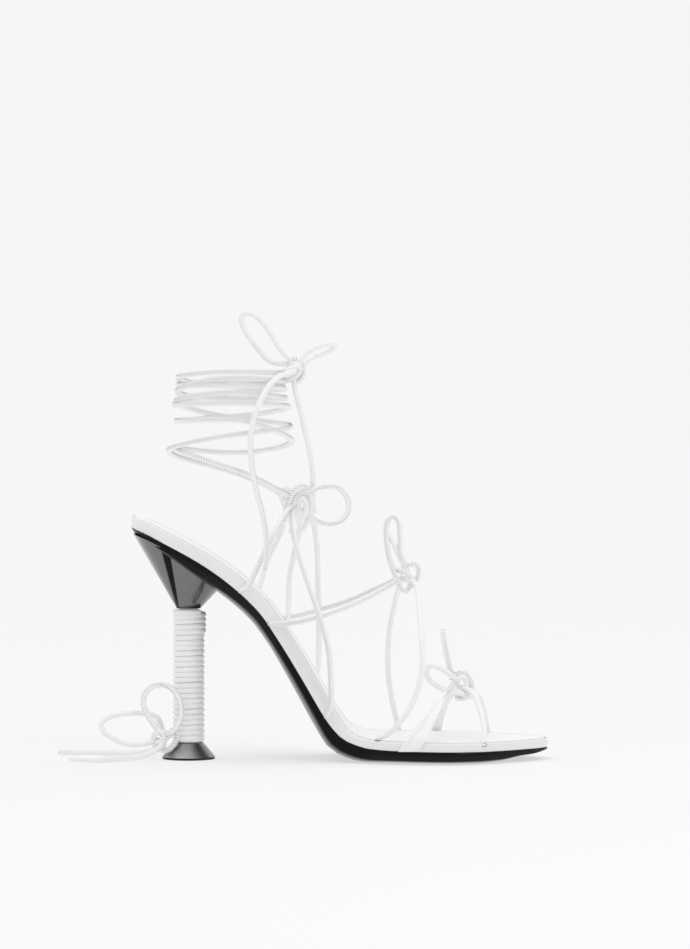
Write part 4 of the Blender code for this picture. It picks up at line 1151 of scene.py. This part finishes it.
# %% [markdown]
# The heel is turned and plated metal. Its cone is a ruled surface, from a small circle at the foot
# to the squarish outline of the slanting seat, as a straight-sided sheet would wrap it.

# %% Heel metal
def on_heel(radius, angle, height):
    """A place round the heel's axis."""
    return Vector((HEEL_AXIS + radius * math.cos(angle), radius * math.sin(angle), height))


def circle(radius, height, count=96):
    return [on_heel(radius, 2 * math.pi * i / count, height) for i in range(count)]


def underside(along, y):
    """The outsole's thickness above a place of its underside."""
    edge, belly = sole("edge", along) * OUTSOLE, sole("belly", along) * OUTSOLE
    near, far = half_width(along, -1), half_width(along, 1)
    reach = (near + far) / 2 - OUTSOLE_INSET
    across = min(abs(y - (far - near) / 2) / reach, 1.0)
    return edge + (belly - edge) * (1 - across ** 2) ** (UNDERSIDE_BOW / 2)


def seat_point(angle):
    """A point of the heel's upper outline, a squarish oval, on the slanting seat."""
    power = SEAT_SQUARENESS
    away = (abs(math.cos(angle)) ** power + abs(math.sin(angle)) ** power) ** (-1 / power)
    x = HEEL_AXIS - SEAT_BACK + away * math.cos(angle) * SEAT_LENGTH / 2
    y = away * math.sin(angle) * SEAT_WIDTH / 2
    along = x / LENGTH
    depth = rim_depth(along) + underside(along, y)
    place = top_line(along) + down(along) * depth
    slope = down(along)
    return Vector((x, y, place.z + (place.x - x) * slope.x / slope.z))


CONE_SIDES, CONE_RINGS = 120, 22
INTO_SEAT = 1.01
foot = circle(CONE_FOOT_RADIUS, COLUMN_HEIGHT + GAP, CONE_SIDES)
seat = [seat_point(2 * math.pi * i / CONE_SIDES) for i in range(CONE_SIDES)]
cone_rings = []
for share in np.linspace(0, INTO_SEAT, CONE_RINGS):
    cone_rings.append([low.lerp(high, float(share)) for low, high in zip(foot, seat)])
placed(lofted("heel_cone_metal", cone_rings, cone_look), "gunmetal", "heel_cone")

LIFT_TOP = 0.55
LIFT_EDGE = 0.0002
TREAD_SEEN = 0.0006
lift_rings = [
    circle(LIFT_RADIUS - LIFT_EDGE, TREAD_SEEN + GAP),
    circle(LIFT_RADIUS, TREAD_SEEN + GAP + LIFT_EDGE),
    circle(LIFT_RADIUS * LIFT_TOP + LIFT_EDGE, LIFT_HEIGHT - LIFT_EDGE),
    circle(LIFT_RADIUS * LIFT_TOP, LIFT_HEIGHT),
]
placed(lofted("heel_lift_metal", lift_rings, lift_look), "gunmetal", "heel_lift")

tread_rings = [
    circle(LIFT_RADIUS - 2 * LIFT_EDGE, 0.0),
    circle(LIFT_RADIUS - LIFT_EDGE, LIFT_EDGE),
    circle(LIFT_RADIUS - LIFT_EDGE, TREAD_SEEN),
]
placed(lofted("top_piece_rubber", tread_rings, rubber_look), "black_rubber", "top_piece")

pin_rings = [circle(COLUMN_RADIUS, height, 48) for height in (LIFT_HEIGHT + GAP, COLUMN_HEIGHT)]
placed(lofted("heel_pin_metal", pin_rings, metal_look), "gunmetal", "heel_column")
print("cone height in mm", round((seat[0].z - foot[0].z) * 1000, 1))

# %% [markdown]
# The column is wound with the same cord, plain side out, from the lift to the cone. The first turn
# lies level on the lift, and the next ones climb over it. Near the top the last turns lie over
# their own tucked end, so they stand a little proud on the front side.

# %% Heel winding
WINDING_CORD = 0.00135
TUCK_BULGE = 0.0010
TUCK_TURNS = 4.5
TUCK_ONSET, TUCK_PHASE = 1.5, 0.35
WOBBLES = ((0.00006, 2.3, 0.0), (0.00005, 5.1, 1.0))
FIRST_ANGLE, LAST_PART_TURN = 0.50, 0.39
STEPS_PER_TURN = 36
TUCK_ROWS = (
    (-0.0006, -0.0016, TUCK_TURNS), (0.0, -0.0012, TUCK_TURNS / 2), (-0.0004, -0.0008, 1.0),
)
FIRST_TURN_SHARE, FIRST_TURN_IN = 0.98, 1.04


def winding_points():
    first = LIFT_HEIGHT + GAP + WINDING_CORD
    last = COLUMN_HEIGHT - WINDING_CORD
    turns = WINDING_TURNS - 1.0
    points = []
    for step in range(round((turns + LAST_PART_TURN) * STEPS_PER_TURN) + 1):
        turn = step / STEPS_PER_TURN
        angle = 2 * math.pi * (turn + FIRST_ANGLE)
        left = turns - turn
        tucked = min(1.0, max(0.0, TUCK_TURNS - left) * TUCK_ONSET)
        over = max(0.0, math.cos(angle + TUCK_PHASE)) ** 3 * tucked
        reach = WINDING_RADIUS - WINDING_CORD + TUCK_BULGE * over
        wobble = sum(size * math.sin(rate * turn + phase) for size, rate, phase in WOBBLES)
        height = first + (last - first) * min(turn / turns, 1.0) + wobble
        points.append(on_heel(reach, angle, height))
    return points


wound = swept("winding", winding_points(), sewn=False, radius=WINDING_CORD)
tuck_x = HEEL_AXIS + WINDING_RADIUS - 2.0 * WINDING_CORD
tuck_route = [
    Vector((tuck_x + aside, across, COLUMN_HEIGHT - turns * 2 * WINDING_CORD))
    for aside, across, turns in TUCK_ROWS
]
tuck_points = curve_points(tuck_route, STRAP_STEP)
tuck = swept("tucked_end", tuck_points, sewn=False, radius=WINDING_CORD)
level_cord = FIRST_TURN_SHARE * WINDING_CORD
level_reach = WINDING_RADIUS - FIRST_TURN_IN * WINDING_CORD
level_turn = [
    on_heel(level_reach, 2 * math.pi * step / STEPS_PER_TURN, LIFT_HEIGHT + GAP + level_cord)
    for step in range(STEPS_PER_TURN + 2)
]
level = swept("first_turn", level_turn, sewn=False, radius=level_cord)
winding_cord = merged("heel_winding_cord", [wound, tuck, level])
winding = placed(winding_cord, "white_cord", "heel_winding")
print("winding faces", len(winding.data.polygons))

# %% [markdown]
# Two small openings take the cords into the leather: a lined eyelet on the rim by the toe, and
# a short slit in the sock at the ball. Each is a thin dark inlay with a soft raised edge.

# %% Eyelet and slit
OVAL_STEPS, EDGE_SIDES = 40, 8
INLAY_THICK = 0.00022
INLAY_SUNK = 0.0001
INLAY_FIT = 0.99


def inlay(name, middle, along, across, length, width, edge, looks):
    """A dark oval with a rounded edge round it."""
    along, across = Vector(along).normalized(), Vector(across).normalized()
    up = along.cross(across).normalized()
    if up.z < 0:
        up = -up
    bm = bmesh.new()
    rings = []
    for i in range(OVAL_STEPS):
        a = 2 * math.pi * i / OVAL_STEPS
        out = along * (length / 2 * math.cos(a)) + across * (width / 2 * math.sin(a))
        way = out.normalized()
        turns = [2 * math.pi * k / EDGE_SIDES for k in range(EDGE_SIDES)]
        lifts = [way * (edge * math.cos(b)) + up * (edge * math.sin(b)) for b in turns]
        rings.append([bm.verts.new(middle + out + lift) for lift in lifts])
    for ring, after in zip(rings, rings[1:] + rings[:1]):
        for k in range(EDGE_SIDES):
            j = (k + 1) % EDGE_SIDES
            bm.faces.new((ring[k], after[k], after[j], ring[j])).material_index = 1
    sunk = middle - up * INLAY_SUNK
    low = [bm.verts.new(sunk + (ring[0].co - middle) * INLAY_FIT) for ring in rings]
    high = [bm.verts.new(vert.co + up * INLAY_THICK) for vert in low]
    for i in range(OVAL_STEPS):
        j = (i + 1) % OVAL_STEPS
        bm.faces.new((low[i], low[j], high[j], high[i]))
    bm.faces.new(high)
    bm.faces.new(low[::-1])
    return meshed(name, bm, looks, 50)


EYELET_SIZE = (0.0026, 0.0017, 0.00020)
eyelet_looks = [rim_look, grommet_look]
eyelet = inlay("toe_eyelet", eyelet_at, (1, 0, 0), (0, -0.6, -0.8), *EYELET_SIZE, eyelet_looks)
placed(eyelet, "black_rubber")

# Painted shade: a thin grey line along the groove between the sock and the rim stands for the
# shade that falls in that groove.
SEAM_LINE = 0.00016
SEAM_RISE = 0.0001
SEAM_REACH = (-0.47, 0.495)
groove_shade_lines = []
for side in (-1, 1):
    line = []
    for along in stations(*SEAM_REACH, 90):
        place = top_line(along) + down(along) * SEAM_RISE
        reach = half_width(along, side) - SOCK_INSET + SEAM_RISE
        line.append(Vector((place.x, side * reach, place.z)))
    groove_shade_lines.append(swept(f"seam_{side}", line, sewn=False, radius=SEAM_LINE))
    groove_shade_lines[-1].data.materials[0] = edge_and_groove_shade_look
placed(merged("sock_groove_shade_lines", groove_shade_lines), "white_leather")

SLIT_ALONG, SLIT_ACROSS = 0.090, -0.385
SLIT_SIZE = (0.0030, 0.0040, 0.00018)
slit_middle = on_sock(SLIT_ALONG, SLIT_ACROSS) + down(SLIT_ALONG) * 4 * GAP
slit_run = top_line(SLIT_ALONG + NEARBY) - top_line(SLIT_ALONG - NEARBY)
slit_looks = [hole_look, edge_and_groove_shade_look]
slit = inlay("ball_slit", slit_middle, slit_run, (0, -1, 0), *SLIT_SIZE, slit_looks)
placed(slit, "black_rubber")
print("inlay faces", len(eyelet.data.polygons), len(slit.data.polygons))

# %% [markdown]
# The studio is a pale room: the half behind the shoe and the floor are near white, and the half
# behind the camera is darker, so that polished metal and gloss black have something to reflect.
# One broad overhead light gives soft contact shadows, and two panels draw streaks on the metal.

# %% Light and floor
PAPER = 0.923
FRONT_GREY = 0.42
SKY_START, SKY_END = -0.45, 0.20
SUN_POWER, SUN_SPREAD = 1.0, 70
SUN_TURN = (18, -12, 0)
PANELS = {
    "left_panel": ((-0.9, -0.7, 0.5), (-0.05, 0, 0.08), (0.25, 0.9), 0.3),
    "right_panel": ((0.8, -1.0, 0.7), (0, 0, 0.05), (0.3, 0.8), 2.8),
}
FLOOR_REACH = 30.0
FLOOR_WHITE = 0.33
FLOOR_GLOW = 0.592

world = bpy.data.worlds.new("studio")
world.use_nodes = True
room = world.node_tree
place = node(room, "ShaderNodeTexCoord").outputs["Generated"]
split = node(room, "ShaderNodeSeparateXYZ", {"Vector": place})
feeds = {"Value": split.outputs["Y"], "From Min": SKY_START, "From Max": SKY_END}
feeds |= {"To Min": FRONT_GREY, "To Max": PAPER}
ramp = node(room, "ShaderNodeMapRange", feeds, interpolation_type="SMOOTHSTEP")
room.links.new(ramp.outputs["Result"], room.nodes["Background"].inputs["Color"])
bpy.context.scene.world = world

sun_data = bpy.data.lights.new("overhead", "SUN")
sun_data.energy = SUN_POWER
sun_data.angle = math.radians(SUN_SPREAD)
sun = shown("overhead", sun_data)
sun.rotation_euler = [math.radians(angle) for angle in SUN_TURN]
for name, (place, aim, (wide, high), power) in PANELS.items():
    panel_data = bpy.data.lights.new(name, "AREA")
    panel_data.shape = "RECTANGLE"
    panel_data.size, panel_data.size_y = wide, high
    panel_data.energy = power
    panel = shown(name, panel_data)
    panel.location = place
    panel.rotation_euler = (Vector(aim) - Vector(place)).to_track_quat("-Z", "Y").to_euler()

floor_mesh = bpy.data.meshes.new("floor")
turns = ((-1, -1), (1, -1), (1, 1), (-1, 1))
corners = [(FLOOR_REACH * x, FLOOR_REACH * y, 0) for x, y in turns]
floor_mesh.from_pydata(corners, [], [(0, 1, 2, 3)])
floor = shown("floor", floor_mesh)
floor_look = bpy.data.materials.new("floor_paper")
floor_look.use_nodes = True
floor_shader = floor_look.node_tree.nodes["Principled BSDF"]
floor_shader.inputs["Base Color"].default_value = grey(FLOOR_WHITE)
floor_shader.inputs["Roughness"].default_value = 1.0
floor_shader.inputs["Specular IOR Level"].default_value = 0.0
floor_shader.inputs["Emission Color"].default_value = grey(1.0)
floor_shader.inputs["Emission Strength"].default_value = FLOOR_GLOW
floor_mesh.materials.append(floor_look)
bpy.context.scene.view_settings.view_transform = "Standard"
print("lights", len(bpy.data.lights))
